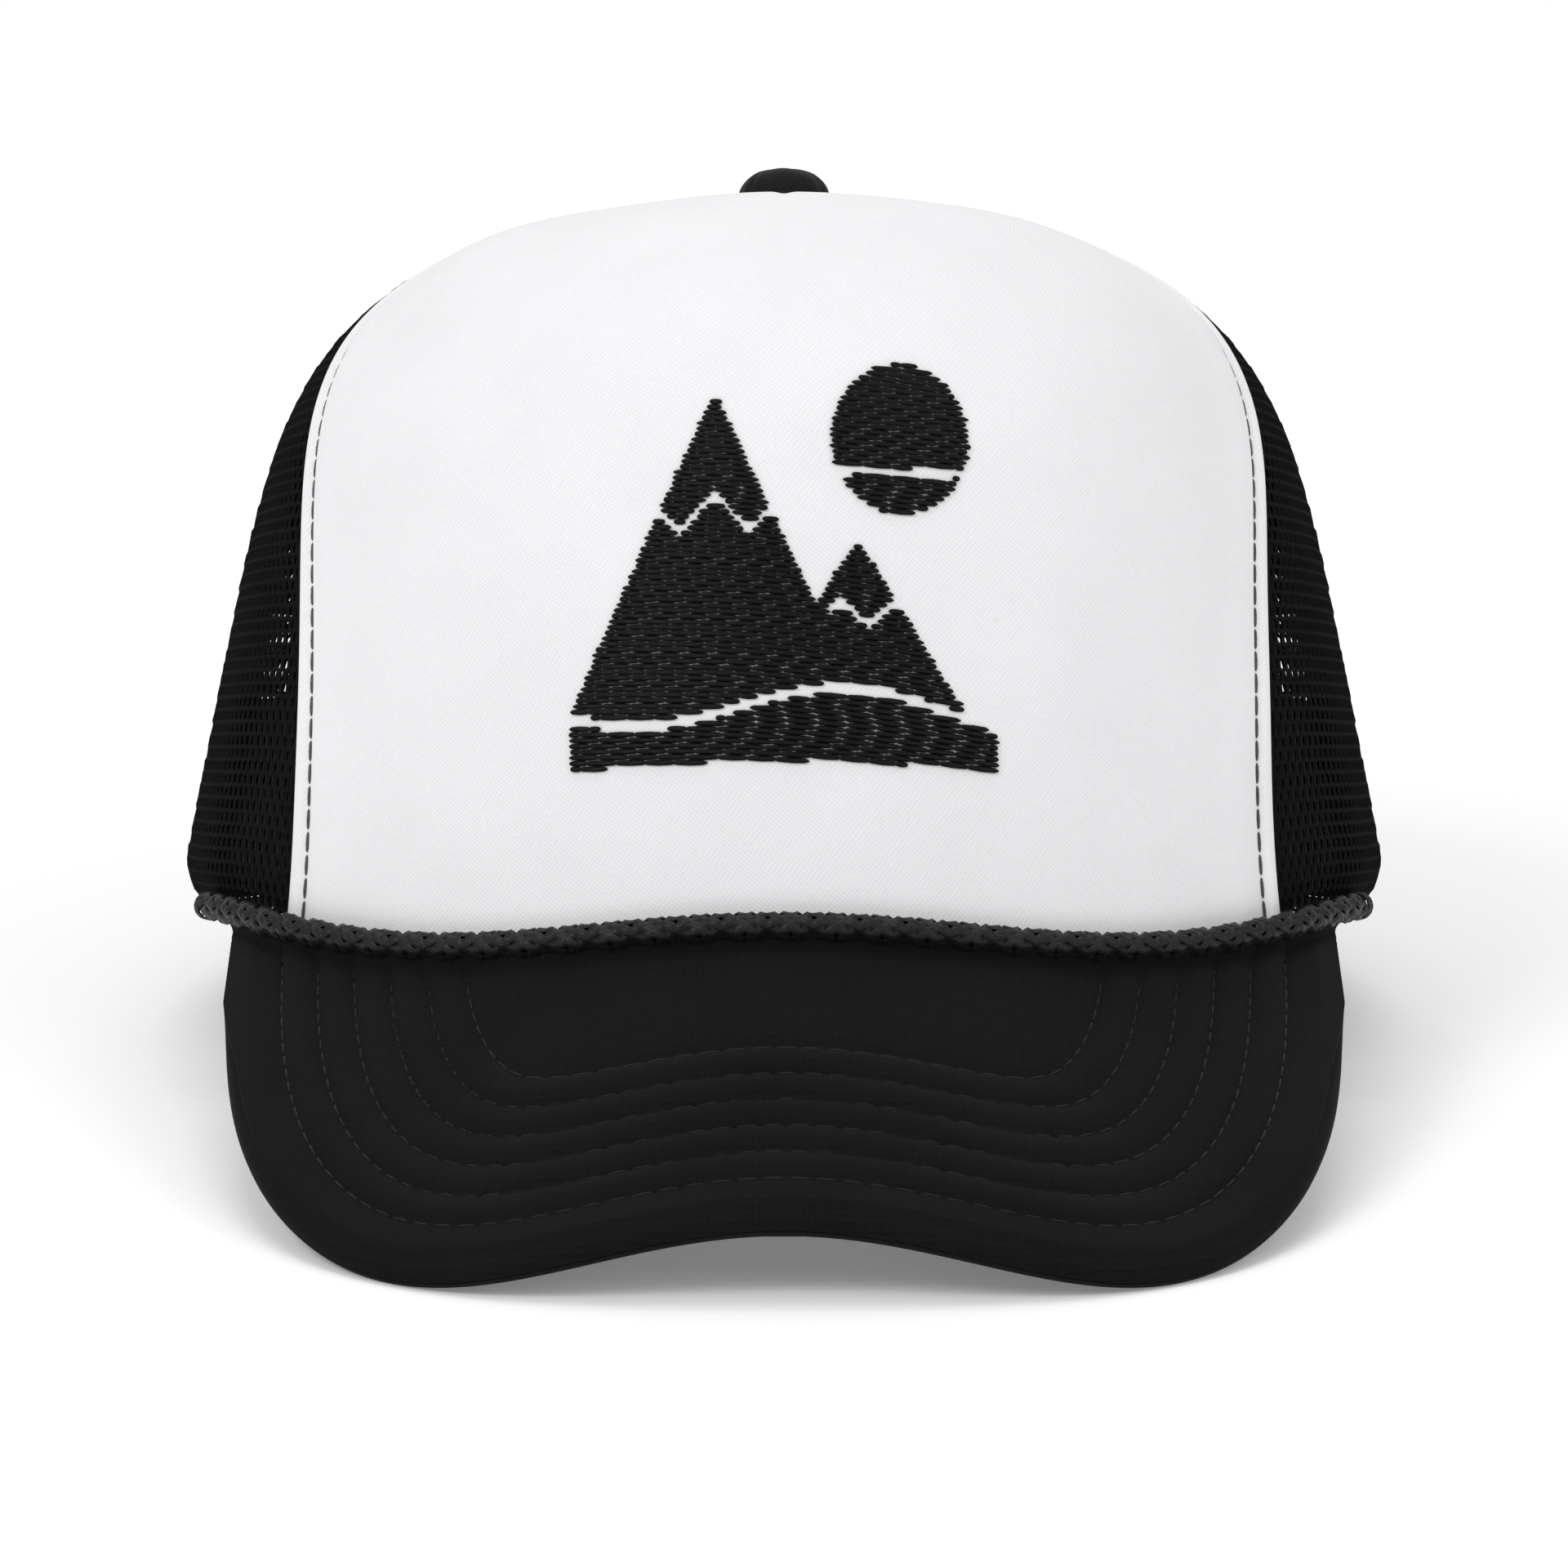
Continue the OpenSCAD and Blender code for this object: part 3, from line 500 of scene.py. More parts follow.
def frontOffset(a, t):
    # how far the cloth stands off the crown: puffed seams, a stitched groove and a centre dart
    toSeam = (frontSeam(t) + 90 - offFront(a)) * np.radians(1) * ringRadius(t)
    puff = frontLook["seamPuff"] * sinDeg(180 * np.clip(toSeam / frontLook["stitchIn"], 0, 1)) ** 0.8
    groove = frontLook["groove"] * np.exp(-((toSeam - frontLook["stitchIn"]) / (0.9 * mm)) ** 2)
    inside = 0.35 * mm * np.exp(-((toSeam - 8 * mm) / (4 * mm)) ** 2)
    turnIn = 0.9 * mm * np.clip(1 - toSeam / (1.1 * mm), 0, 1) ** 2
    x = (a + 90) * np.radians(1) * ringRadius(t)
    dart = frontLook["dart"] * np.exp(-(x / (1.3 * mm)) ** 2) * np.clip((t - frontLook["dartFoot"]) / 0.2, 0, 1)
    broad = np.sin(x * 62 + 6 * t) * np.sin(9 * t + 0.6)
    fine = 0.6 * np.sin(x * 110 + 2) * sinDeg(150 * t)
    side = frontLook["wave"] * (broad + fine)
    bottom = 0.7 * mm * np.clip(1 - t / 0.012, 0, 1) ** 2
    return puff - groove + inside - turnIn - dart + side * np.clip(t * 4, 0, 1) - bottom


def buildFront():
    t = np.linspace(0, tTop, frontLook["rows"])[None, :]
    u = 0.5 - 0.5 * np.cos(np.pi * np.linspace(0, 1, frontLook["columns"]))[:, None]
    u = 0.6 * u + 0.4 * np.linspace(0, 1, frontLook["columns"])[:, None]
    half = frontSeam(t) + 90 - toAngle(seamGap / 2, t)
    a = -90 + half * (2 * u - 1)
    t = np.broadcast_to(t, a.shape)
    d = frontOffset(a, t)
    outer = stand(shellPoint(a, t, d))
    inner = stand(shellPoint(a, t, np.minimum(d - frontLook["thickness"] * 0.6, -frontLook["thickness"])))
    face = finishPiece(sheetMesh("front_panel_cloth", outer, inner), finishes["whiteKnit"],
                       ["front_panel"])


def buildTopstitch(side, node):
    t = np.linspace(0.012, float(tAtHeight(0.9 * crown["height"])), 200)
    a = frontSeam(t) - toAngle(frontLook["stitchIn"], t)
    if side < 0:
        a = -180 - a
    path = stand(shellPoint(a, t, frontOffset(a, t) + 0.12 * mm))
    lift = stand(shellPoint(a, t, np.full(t.shape, 1.0))) - stand(crownPoint(a, t))
    sewLine(node + "_thread", path, lift, topstitch, [node])


buildFront()
for side, word in ((1, "left"), (-1, "right")):
    buildTopstitch(side, "front_topstitch_" + word)
print("front panel ready")

# ---- mesh panels: a knitted net of six-sided holes ----
net = {"cellWidth": 2.3 * mm, "cellHeight": 2.5 * mm, "strand": 0.8 * mm, "depth": 0.35 * mm, "smallest": 0.35}
arch = {"half": 38 * mm, "height": 50 * mm, "bindingWidth": 9 * mm}
archAngle = math.degrees(arch["half"] / crown["halfLength"])


def buildNet(low, high, side, node, hasArch):
    rows = np.linspace(0, tTop, 400)
    middle = (low(rows) + high(rows)) / 2
    spine = crownPoint(middle, rows)
    run = np.concatenate([[0], np.cumsum(np.linalg.norm(np.diff(spine, axis=0), axis=-1))])
    step = net["cellHeight"] * 0.75
    count = int(run[-1] / step)
    step = run[-1] / count
    half = net["cellWidth"] / 2
    points, index, faces = [], {}, []

    def corner(i, j):
        # lattice corner in half widths and third heights, pulled in to the seams and the opening
        key = (i, j)
        if key in index:
            return index[key]
        v = min(max(j * step / 3, 0), run[-1])
        t = float(np.interp(v, run, rows))
        radius = float(ringRadius(t)) * (1 - 0.2 * t)
        mid = float(low(t) + high(t)) / 2
        reach = (float(high(t)) - float(low(t))) / 2 - float(toAngle(seamGap / 2, t))
        a = mid + min(max(math.degrees(i * half / radius), -reach), reach)
        if hasArch:
            x = (90 - a) / archAngle
            z = float(crown["height"] * heightShare(t)) / arch["height"]
            far = math.hypot(x, z)
            if far < 1.01:
                grow = 1.01 / max(far, 0.05)
                a = 90 - x * grow * archAngle
                t = float(tAtHeight(z * grow * arch["height"]))
        index[key] = len(points)
        points.append((a, t))
        return index[key]

    widest = int(max((high(rows) - low(rows)) * np.radians(1) * ringRadius(rows)) / net["cellWidth"] / 2) + 3
    for row in range(count + 1):
        v = row * step
        t = float(np.interp(v, run, rows))
        radius = float(ringRadius(t)) * (1 - 0.2 * t)
        mid = float(low(t) + high(t)) / 2
        reach = (float(high(t)) - float(low(t))) / 2
        for col in range(-widest, widest + 1):
            i = 2 * col + (row % 2)
            a = mid + math.degrees(i * half / radius)
            if abs(a - mid) > reach + math.degrees(half / radius) * 0.6:
                continue
            if hasArch:
                x = (90 - a) / archAngle
                z = float(crown["height"] * heightShare(t)) / arch["height"]
                if math.hypot(x, z) < 0.99:
                    continue
            j = 3 * row
            faces.append([corner(i, j + 2), corner(i + 1, j + 1), corner(i + 1, j - 1),
                          corner(i, j - 2), corner(i - 1, j - 1), corner(i - 1, j + 1)])
    flat = np.array(points)
    depth = -net["depth"] + 0.12 * mm * np.sin(flat[:, 0] * 4.1) * np.sin(flat[:, 1] * 90)
    spots = shellPoint(flat[:, 0], flat[:, 1], depth)
    spots[:, 0] *= side
    keep = []
    for ring in faces:
        area = spots[ring]
        normal = np.zeros(3)
        for k in range(6):
            normal += np.cross(area[k] - area[0], area[(k + 1) % 6] - area[0])
        if np.linalg.norm(normal) > 2 * net["smallest"] * (mm ** 2):
            keep.append(ring)
    piece = addMesh(node + "_net", stand(spots), keep)
    selectOnly(piece)
    bpy.ops.object.mode_set(mode="EDIT")
    bpy.ops.mesh.select_all(action="SELECT")
    bpy.ops.mesh.remove_doubles(threshold=0.05 * mm)
    bpy.ops.mesh.normals_make_consistent(inside=False)
    bpy.ops.mesh.dissolve_degenerate(threshold=0.05 * mm)
    bpy.ops.object.mode_set(mode="OBJECT")
    bpy.ops.object.modifier_add(type="WIREFRAME")
    wire = piece.modifiers[-1]
    wire.thickness = net["strand"]
    wire.use_even_offset = False
    wire.use_boundary = True
    wire.use_replace = True
    wire.offset = 0
    bpy.ops.object.modifier_apply(modifier=wire.name)
    bpy.ops.object.shade_smooth_by_angle(angle=math.radians(60))
    finishPiece(piece, finishes["net"], [node])


def backSeam(t):
    return 90 + 0 * np.asarray(t, float)


# each panel's cut, flat
for side, word in ((1, "left"), (-1, "right")):
    buildNet(frontSeam, sideSeam, side, "side_mesh_" + word, False)
    buildNet(sideSeam, backSeam, side, "rear_mesh_" + word, True)
print("mesh panels ready")


# ---- tapes, hem, sweatband and foam inside ----
inside = {"meshThickness": 1.2 * mm, "tapeGap": 0.4 * mm, "tapeWidth": 13 * mm, "tapeThickness": 0.7 * mm,
          "foamThickness": 2.4 * mm, "layerGap": 0.15 * mm, "bandHeight": 32 * mm, "bandThickness": 1.3 * mm,
          "strapThickness": 1.2 * mm, "hemThickness": 1.2 * mm, "hemLip": 0.3 * mm, "footRise": 2 * mm,
          "bandFoot": 2.4 * mm, "bandBack": 2.48 * mm, "bandRoom": 3.2 * mm, "sideFade": 40, "backFrom": 125,
          "backFade": 15}
tapeSeam = {"pitch": 3.2 * mm, "share": 0.85, "width": 0.5 * mm, "thick": 0.4 * mm}
bandSeam = {"pitch": 3.4 * mm, "share": 0.85, "width": 0.55 * mm, "thick": 0.4 * mm}
bindingSeam = {"pitch": 3.0 * mm, "share": 0.85, "width": 0.5 * mm, "thick": 0.4 * mm}


def tapeStrip(name, seam, low, side, node):
    rows = 90
    t = np.linspace(low, tTop * 15 / 16, rows)[None, :]
    s = np.linspace(-1, 1, 13)[:, None]
    a = seam(t) + s * toAngle(inside["tapeWidth"] / 2, t)
    t = np.broadcast_to(t, a.shape)
    top = -(inside["meshThickness"] + inside["tapeGap"])
    curl = 0.25 * mm * np.cos(np.pi * s) * np.ones_like(t)
    edge = 0.3 * mm * np.abs(s) ** 6 * np.ones_like(t)
    outer = shellPoint(a, t, top - edge * 0.5)
    inner = shellPoint(a, t, top - inside["tapeThickness"] - curl * 0.4 + edge * 0.5)
    for grid in (outer, inner):
        grid[..., 0] *= side
    strip = finishPiece(sheetMesh(name, stand(outer), stand(inner)), finishes["tape"], [node])
    spine = crownPoint(seam(t[0]), t[0])
    for k, where in enumerate((-0.62, 0.62)):
        line = seam(t[0]) + where * toAngle(inside["tapeWidth"] / 2, t[0])
        path = shellPoint(line, t[0], np.full(rows, top - inside["tapeThickness"] - 0.15 * mm))
        lift = shellPoint(line, t[0], np.full(rows, -1.0)) - crownPoint(line, t[0])
        path[:, 0] *= side
        lift[:, 0] *= side
        sewLine(name + "_thread_" + str(k), stand(path), lift @ crownWays, tapeSeam)


tapeFoot = float(tAtHeight(inside["footRise"]))
backSeamFoot = float(tAtHeight(arch["height"] + arch["bindingWidth"] + 1.5 * mm))
for place, seam in (("front", frontSeam), ("side", sideSeam)):
    for side, word in ((1, "left"), (-1, "right")):
        tapeStrip(place + "_tape_" + word, seam, tapeFoot, side, place + "_seam_tape_" + word)
tapeStrip("back_tape", backSeam, backSeamFoot, 1, "back_seam_tape")

bandFront = inside["foamThickness"] + frontLook["thickness"] + 3 * inside["layerGap"]
bandSide = inside["meshThickness"] + 2 * inside["strapThickness"] + inside["bandRoom"]


def bandDepth(a):
    side = np.clip((offFront(a) - crown["frontHalf"]) / inside["sideFade"], 0, 1)
    back = np.clip((offFront(a) - inside["backFrom"]) / inside["backFade"], 0, 1)
    return -(bandFront + (bandSide - bandFront) * side + inside["bandBack"] * back)


def buildSweatband():
    last = 90 - archAngle - float(toAngle(2 * mm, 0.0))
    first = -180 - last
    a = np.linspace(first, last, 260)[:, None]
    z = np.linspace(0, 1, 26)[None, :]
    level = inside["bandFoot"] + z * (inside["bandHeight"] - inside["bandFoot"])
    t = np.broadcast_to(tAtHeight(level), (260, 26))
    ripple = 0.35 * mm * np.sin(np.radians(a) * 46 + np.sin(z * 5)) * z ** 2
    roll = 0.5 * mm * np.exp(-((1 - z) / 0.05) ** 2)
    outer = shellPoint(a, t, bandDepth(a) - ripple + 0 * z)
    inner = shellPoint(a, t, bandDepth(a) - inside["bandThickness"] - ripple - roll)
    band = finishPiece(sheetMesh("sweatband_cloth", stand(outer), stand(inner)),
                       finishes["twill"], ["sweatband"])
    for k, share in enumerate((0.08, 0.86)):
        line = a[:, 0]
        height = inside["bandFoot"] + share * (inside["bandHeight"] - inside["bandFoot"])
        tt = np.full(line.shape, float(tAtHeight(height)))
        path = shellPoint(line, tt, bandDepth(line) - inside["bandThickness"] - 0.55 * mm * (share > 0.5) - 0.1 * mm)
        lift = shellPoint(line, tt, np.full(line.shape, -1.0)) - crownPoint(line, tt)
        sewLine("sweatband_thread_" + str(k), stand(path), lift @ crownWays, bandSeam)


def buildFoam():
    inset = inside["tapeWidth"] / 2 + 1 * mm
    t = np.linspace(float(tAtHeight(inside["footRise"])), float(tAtHeight(0.96 * crown["height"])), 70)[None, :]
    u = np.linspace(-1, 1, 90)[:, None]
    a = -90 + u * (frontSeam(t) + 90 - toAngle(inset, t))
    t = np.broadcast_to(t, a.shape)
    top = -(frontLook["thickness"] + 2 * inside["layerGap"])
    edge = np.clip((1 - np.abs(u)) / 0.04, 0, 1) * np.ones_like(t)
    back = top - inside["foamThickness"] * (0.45 + 0.55 * np.sqrt(edge))
    foam = finishPiece(sheetMesh("front_foam_layer", stand(shellPoint(a, t, np.full(a.shape, top))),
                                 stand(shellPoint(a, t, back))), finishes["foam"], ["front_foam"])


def buildHem():
    last = 90 - archAngle - float(toAngle(1 * mm, 0.0))
    a = np.linspace(-180 - last, last, 300)[:, None]
    edge = crownPoint(a, 0 * a)
    way = np.concatenate([cosDeg(a) / crown["halfWidth"], sinDeg(a) / crown["halfLength"], 0 * a], -1)
    way = (way / np.linalg.norm(way, axis=-1, keepdims=True))[:, None, :]
    reach = inside["bandThickness"] - bandDepth(a) + inside["hemLip"]
    width = inside["hemLip"] + reach
    # across the strip: share of the width, and how far the folded edge rounds off there
    section = [(0, 0.55), (0.03, 0.2), (0.1, 0.02), (0.3, 0), (0.5, 0), (0.7, 0), (0.9, 0.02), (0.97, 0.2), (1, 0.55)]
    share = np.array([spot[0] for spot in section])[None, :]
    dip = np.array([spot[1] for spot in section])[None, :]
    out = inside["hemLip"] - width * share
    above = -inside["layerGap"] - inside["hemThickness"] * dip
    below = -inside["layerGap"] - inside["hemThickness"] * (1 - dip * 0.9)
    spot = edge.reshape(-1, 1, 3) + way * out[..., None]
    lower, upper = spot.copy(), spot.copy()
    lower[..., 2] += below
    upper[..., 2] += above
    hem = finishPiece(sheetMesh("hem_tape", stand(lower), stand(upper)), finishes["tape"], ["crown_hem"])


def archPoint(beta, e, d):
    n = np.stack([cosDeg(beta) * arch["height"], sinDeg(beta) * arch["half"]], -1)
    n /= np.linalg.norm(n, axis=-1, keepdims=True)
    x = arch["half"] * cosDeg(beta) + e * n[..., 0]
    z = np.maximum(arch["height"] * sinDeg(beta) + e * n[..., 1], inside["footRise"])
    return shellPoint(90 - np.degrees(x / crown["halfLength"]), tAtHeight(z), d)


def buildBinding():
    gap, thick, depth = inside["tapeGap"], inside["tapeThickness"], inside["meshThickness"]
    width = arch["bindingWidth"]
    outside = [(width, gap + thick * 0.7), (width - 0.8 * mm, gap + thick)]
    outside += [(width * k, gap + thick * 1.1) for k in (0.75, 0.5, 0.25)]
    outside += [(0.2 * mm, gap + thick), (-0.7 * mm, gap + 0.3 * mm), (-1.1 * mm, -0.2 * mm), (-1.1 * mm, -depth),
                (-0.7 * mm, -depth - gap - 0.3 * mm), (0.2 * mm, -depth - gap - thick)]
    outside += [(width * k, -depth - gap - thick) for k in (0.25, 0.5, 0.75)]
    outside += [(width - 0.8 * mm, -depth - gap - thick), (width, -depth - gap - thick * 0.7)]
    within = [(width, gap), (width - 0.8 * mm, gap)] + [(width * k, gap) for k in (0.75, 0.5, 0.25)]
    within += [(0.2 * mm, gap), (-0.1 * mm, 0.2 * mm), (-0.35 * mm, -0.2 * mm), (-0.35 * mm, -depth),
               (-0.1 * mm, -depth - 0.2 * mm), (0.2 * mm, -depth - gap)]
    within += [(width * k, -depth - gap) for k in (0.25, 0.5, 0.75)] + [(width - 0.8 * mm, -depth - gap),
                                                                      (width, -depth - gap)]
    beta = np.linspace(0, 180, 120)[:, None]
    grids = []
    for section in (outside, within):
        e = np.array([p[0] for p in section])[None, :]
        d = np.array([p[1] for p in section])[None, :]
        grids.append(stand(archPoint(beta + 0 * e, e + 0 * beta, d + 0 * beta)))
    binding = finishPiece(sheetMesh("arch_binding", grids[0], grids[1]), finishes["tape"],
                          ["rear_opening_binding"])
    b = np.linspace(4, 176, 240)
    for k, where in enumerate((1.6 * mm, width - 1.6 * mm)):
        path = archPoint(b, np.full(b.shape, where), np.full(b.shape, gap + thick * 1.1 + 0.1 * mm))
        far = archPoint(b, np.full(b.shape, where), np.full(b.shape, 1.0)) - path
        sewLine("binding_thread_" + str(k), stand(path), far @ crownWays, bindingSeam)


buildSweatband()
buildFoam()
buildHem()
buildBinding()
print("inside ready")

# ---- brim ----
brim = {"halfAngle": 66, "length": 57 * mm, "slope": 0.615, "sideFlatten": 0.22, "camber": 4.5 * mm,
        "square": 3.2, "board": 1.8 * mm, "cover": 0.7 * mm, "seat": 2.1 * mm, "rootClear": 0.9 * mm,
        "rows": 6, "rowPitch": 5.2 * mm, "rowEdge": 8.4 * mm, "puff": 1.0 * mm, "from": 5,
        "roundOver": 8, "seamRise": 1.6 * mm, "seamReach": 1.1 * mm}
rootHalf = (crown["halfWidth"] - crown["hemTuck"]) * math.sin(math.radians(brim["halfAngle"]))


def rootLine(x):
    return -crown["halfLength"] * np.sqrt(1 - np.minimum(np.abs(x) / crown["halfWidth"], 0.995) ** 2)


rootBack = float(rootLine(rootHalf))
brimReach = brim["length"] + crown["halfLength"] + rootBack


def brimHeight(x, y):
    ahead = rootLine(x) - y
    slope = brim["slope"] - brim["sideFlatten"] * (np.abs(x) / rootHalf) ** 4
    drop = edgeDrop(-90 + np.degrees(np.arcsin(np.clip(np.abs(x) / crown["halfWidth"], 0, 1))))
    return -slope * ahead - brim["camber"] * ahead / brim["length"] * (x / rootHalf) ** 2 - drop - brim["seat"]


def brimOutline(b, inset):
    c, s = cosDeg(b), sinDeg(b)
    p = np.stack([rootHalf * np.sign(c) * np.abs(c) ** (2 / brim["square"]),
                  rootBack - brimReach * np.abs(s) ** (2 / brim["square"])], -1)
    n = np.stack([np.sign(c) * np.abs(c) ** (2 - 2 / brim["square"]) / rootHalf,
                  -np.abs(s) ** (2 - 2 / brim["square"]) / brimReach], -1)
    n /= np.linalg.norm(n, axis=-1, keepdims=True)
    return p - np.asarray(inset)[..., None] * n


def brimPoint(plan, d):
    x, y = plan[..., 0], plan[..., 1]
    h = 0.3 * mm
    n = np.stack([brimHeight(x - h, y) - brimHeight(x + h, y), brimHeight(x, y - h) - brimHeight(x, y + h),
                  0 * x + 2 * h], -1)
    n /= np.linalg.norm(n, axis=-1, keepdims=True)
    return np.stack([x, y, brimHeight(x, y)], -1) + np.asarray(d)[..., None] * n, n


def edgeDistance(plan):
    b = np.linspace(0, 180, 721)
    line = brimOutline(b, 0 * b)
    flat = plan.reshape(-1, 2)
    best = np.full(len(flat), 1.0)
    for k in range(0, len(line), 60):
        part = line[k:k + 61]
        gap = np.linalg.norm(flat[:, None, :] - part[None, :, :], axis=-1).min(1)
        best = np.minimum(best, gap)
    return best.reshape(plan.shape[:-1])


def channel(inset):
    # rounded channels between the rows of stitching, and a soft pad inside the last row
    place = (inset - brim["rowEdge"]) / brim["rowPitch"]
    hump = np.abs(np.sin(np.pi * place)) ** 0.55
    first = np.clip(1 - np.abs(inset / brim["rowEdge"] - 0.45) / 0.55, 0, 1) ** 0.5
    lastRow = brim["rows"] - 1
    pad = 1 - np.exp(-np.maximum(place - lastRow, 0) * 2.2)
    shape = np.where(place < 0, first, np.where(place > lastRow, pad * 0.9, hump))
    return brim["puff"] * shape - 0.25 * mm


brimOuter = brim["board"] / 2 + inside["layerGap"] + brim["cover"]


def buildCover(up, node, puff):
    b = np.linspace(brim["from"], 180 - brim["from"], 300)[:, None]
    w = np.linspace(0, 1, 110)[None, :]
    # the rim's rounding starts beside the crown and reaches its full size a little further on
    soft = np.clip((90 - np.abs(b[:, 0] - 90) - brim["from"]) / brim["roundOver"], 0, 1)
    rim = brimOutline(b[:, 0], brimOuter * soft)
    x0 = brimOutline(b[:, 0], np.zeros(len(b)))[:, 0] * 0.995
    root = np.stack([x0, rootLine(x0) - brim["rootClear"]], -1)
    plan = root[:, None, :] + (rim - root)[:, None, :] * w[..., None]
    lift = channel(edgeDistance(plan)) * puff
    fade = np.clip((1 - w) * 30, 0, 1) * np.clip(w * 12, 0.0, 1)
    seam = brim["seamRise"] * np.exp(-w * brim["length"] / brim["seamReach"]) * (up > 0)
    flatOuter = brimPoint(plan, up * (brimOuter + lift * fade + seam))[0]
    flatInner = brimPoint(plan, np.full(plan.shape[:-1], up * (brimOuter - brim["cover"])))[0]
    small = brimOuter - brim["cover"]
    edgeOut, edgeIn = [], []
    for turn in np.radians([18, 36, 54, 72, 88]):
        ring = brimOutline(b[:, 0], soft * brimOuter * (1 - math.sin(turn)))
        edgeOut.append(brimPoint(ring, np.full(len(b), up * brimOuter * math.cos(turn)))[0])
        ring = brimOutline(b[:, 0], soft * (brimOuter - small * math.sin(turn)))
        edgeIn.append(brimPoint(ring, np.full(len(b), up * small * math.cos(turn)))[0])
    outer = np.concatenate([flatOuter, np.stack(edgeOut, 1)], 1)
    inner = np.concatenate([flatInner, np.stack(edgeIn, 1)], 1)
    cover = finishPiece(sheetMesh(node + "_cloth", stand(outer), stand(inner)),
                        finishes["blackKnit"], [node])


def buildBrimStitches(up, name, nodes):
    starts, ends, lifts = [], [], []
    for row in range(brim["rows"]):
        inset = brim["rowEdge"] + row * brim["rowPitch"]
        b = np.linspace(2, 178, 900)
        plan = brimOutline(b, np.full(b.shape, inset))
        keep = plan[:, 1] < rootLine(plan[:, 0]) - 1.5 * mm
        plan = plan[keep]
        spot, n = brimPoint(plan, np.full(len(plan), up * (brimOuter - 0.12 * mm)))
        lift = up * n @ crownWays
        s, e, l = layLine(stand(spot), lift, 3.6 * mm, 0.8)
        starts.append(s)
        ends.append(e)
        lifts.append(l)
    addStitches(name, np.concatenate(starts), np.concatenate(ends), np.concatenate(lifts), 0.55 * mm, 0.5 * mm,
                finishes["blackThread"], nodes)


buildCover(1, "brim_top_cover", 1.0)
buildCover(-1, "brim_bottom_cover", 0.35)
buildBrimStitches(1, "brim_stitches_top", ["brim_stitching"])
buildBrimStitches(-1, "brim_stitches_under", [])
print("brim ready")

# ---- braided cord over the brim ----
braid = {"diameter": 3.8 * mm, "yarns": 8, "lay": 12.8 * mm, "halfAngle": 67, "yarnWidth": 1.5 * mm,
         "yarnThickness": 0.85 * mm}


def cordCentre(a):
    edge = crownPoint(a, 0 * a)
    n = np.stack([cosDeg(a) / crown["halfWidth"], sinDeg(a) / crown["halfLength"], 0 * a], -1)
    n /= np.linalg.norm(n, axis=-1, keepdims=True)
    centre = edge + n * (braid["diameter"] / 2 + 0.7 * mm)
    centre[:, 2] += braid["diameter"] / 2 - 0.6 * mm
    return centre


def addTube(points, faces, path, across, lift, halfWide, halfThick, sides=6):
    base = len(points)
    for k in range(len(path)):
        for j in range(sides):
            turn = 2 * math.pi * j / sides
            points.append(path[k] + across[k] * halfWide * math.cos(turn) + lift[k] * halfThick * math.sin(turn))
    for k in range(len(path) - 1):
        for j in range(sides):
            m = (j + 1) % sides
            faces.append((base + k * sides + j, base + k * sides + m,
                          base + (k + 1) * sides + m, base + (k + 1) * sides + j))
    faces.append(tuple(base + j for j in range(sides - 1, -1, -1)))
    last = base + (len(path) - 1) * sides
    faces.append(tuple(last + j for j in range(sides)))


def buildCord():
    a = np.linspace(-90 - braid["halfAngle"], -90 + braid["halfAngle"], 900)
    line = stand(cordCentre(a))
    run = np.concatenate([[0], np.cumsum(np.linalg.norm(np.diff(line, axis=0), axis=-1))])
    s = np.arange(0, run[-1], braid["lay"] / 16)
    centre = np.stack([np.interp(s, run, line[:, k]) for k in range(3)], -1)
    along = np.gradient(centre, axis=0)
    along /= np.linalg.norm(along, axis=-1, keepdims=True)
    side = np.cross(along, np.broadcast_to(upWay, along.shape))
    side /= np.linalg.norm(side, axis=-1, keepdims=True)
    top = np.cross(side, along)
    points, faces = [], []
    pairs = braid["yarns"] // 2
    for hand in (1, -1):
        for k in range(pairs):
            turn = hand * 2 * math.pi * s / braid["lay"] + 2 * math.pi * k / pairs
            phase = 2 * pairs * math.pi * s / braid["lay"] + k * math.pi
            radius = braid["diameter"] / 2 - braid["yarnThickness"] / 2 + hand * 0.26 * mm * np.sin(phase)
            out = side * np.cos(turn)[:, None] + top * np.sin(turn)[:, None]
            path = centre + out * radius[:, None]
            way = np.gradient(path, axis=0)
            way /= np.linalg.norm(way, axis=-1, keepdims=True)
            across = np.cross(way, out)
            addTube(points, faces, path, across, out, braid["yarnWidth"] / 2, braid["yarnThickness"] / 2)
    coreRadius = braid["diameter"] / 2 * 0.72
    addTube(points, faces, centre[::4], side[::4], top[::4], coreRadius, coreRadius, 8)
    piece = addMesh("brim_cord_braid", points, faces)
    fixNormals(piece)
    finishPiece(piece, finishes["cordYarn"], ["brim_cord"])
    for end, node in ((0, "cord_tack_right"), (len(s) - 1, "cord_tack_left")):
        starts, ends, lifts = [], [], []
        way = along[end] * (1 if end else -1)
        for wrap in range(5):
            middle = centre[end] + way * (wrap * 0.5 * mm - 0.2 * mm)
            for k in range(12):
                t0, t1 = 2 * math.pi * k / 12, 2 * math.pi * (k + 1.25) / 12
                r = braid["diameter"] / 2 + 0.12 * mm
                starts.append(middle + (side[end] * math.cos(t0) + top[end] * math.sin(t0)) * r)
                ends.append(middle + (side[end] * math.cos(t1) + top[end] * math.sin(t1)) * r)
                lifts.append(side[end] * math.cos((t0 + t1) / 2) + top[end] * math.sin((t0 + t1) / 2))
        addStitches(node + "_wraps", starts, ends, lifts, 0.55 * mm, 0.4 * mm,
                    finishes["blackThread"], [node])


buildCord()
print("cord ready")

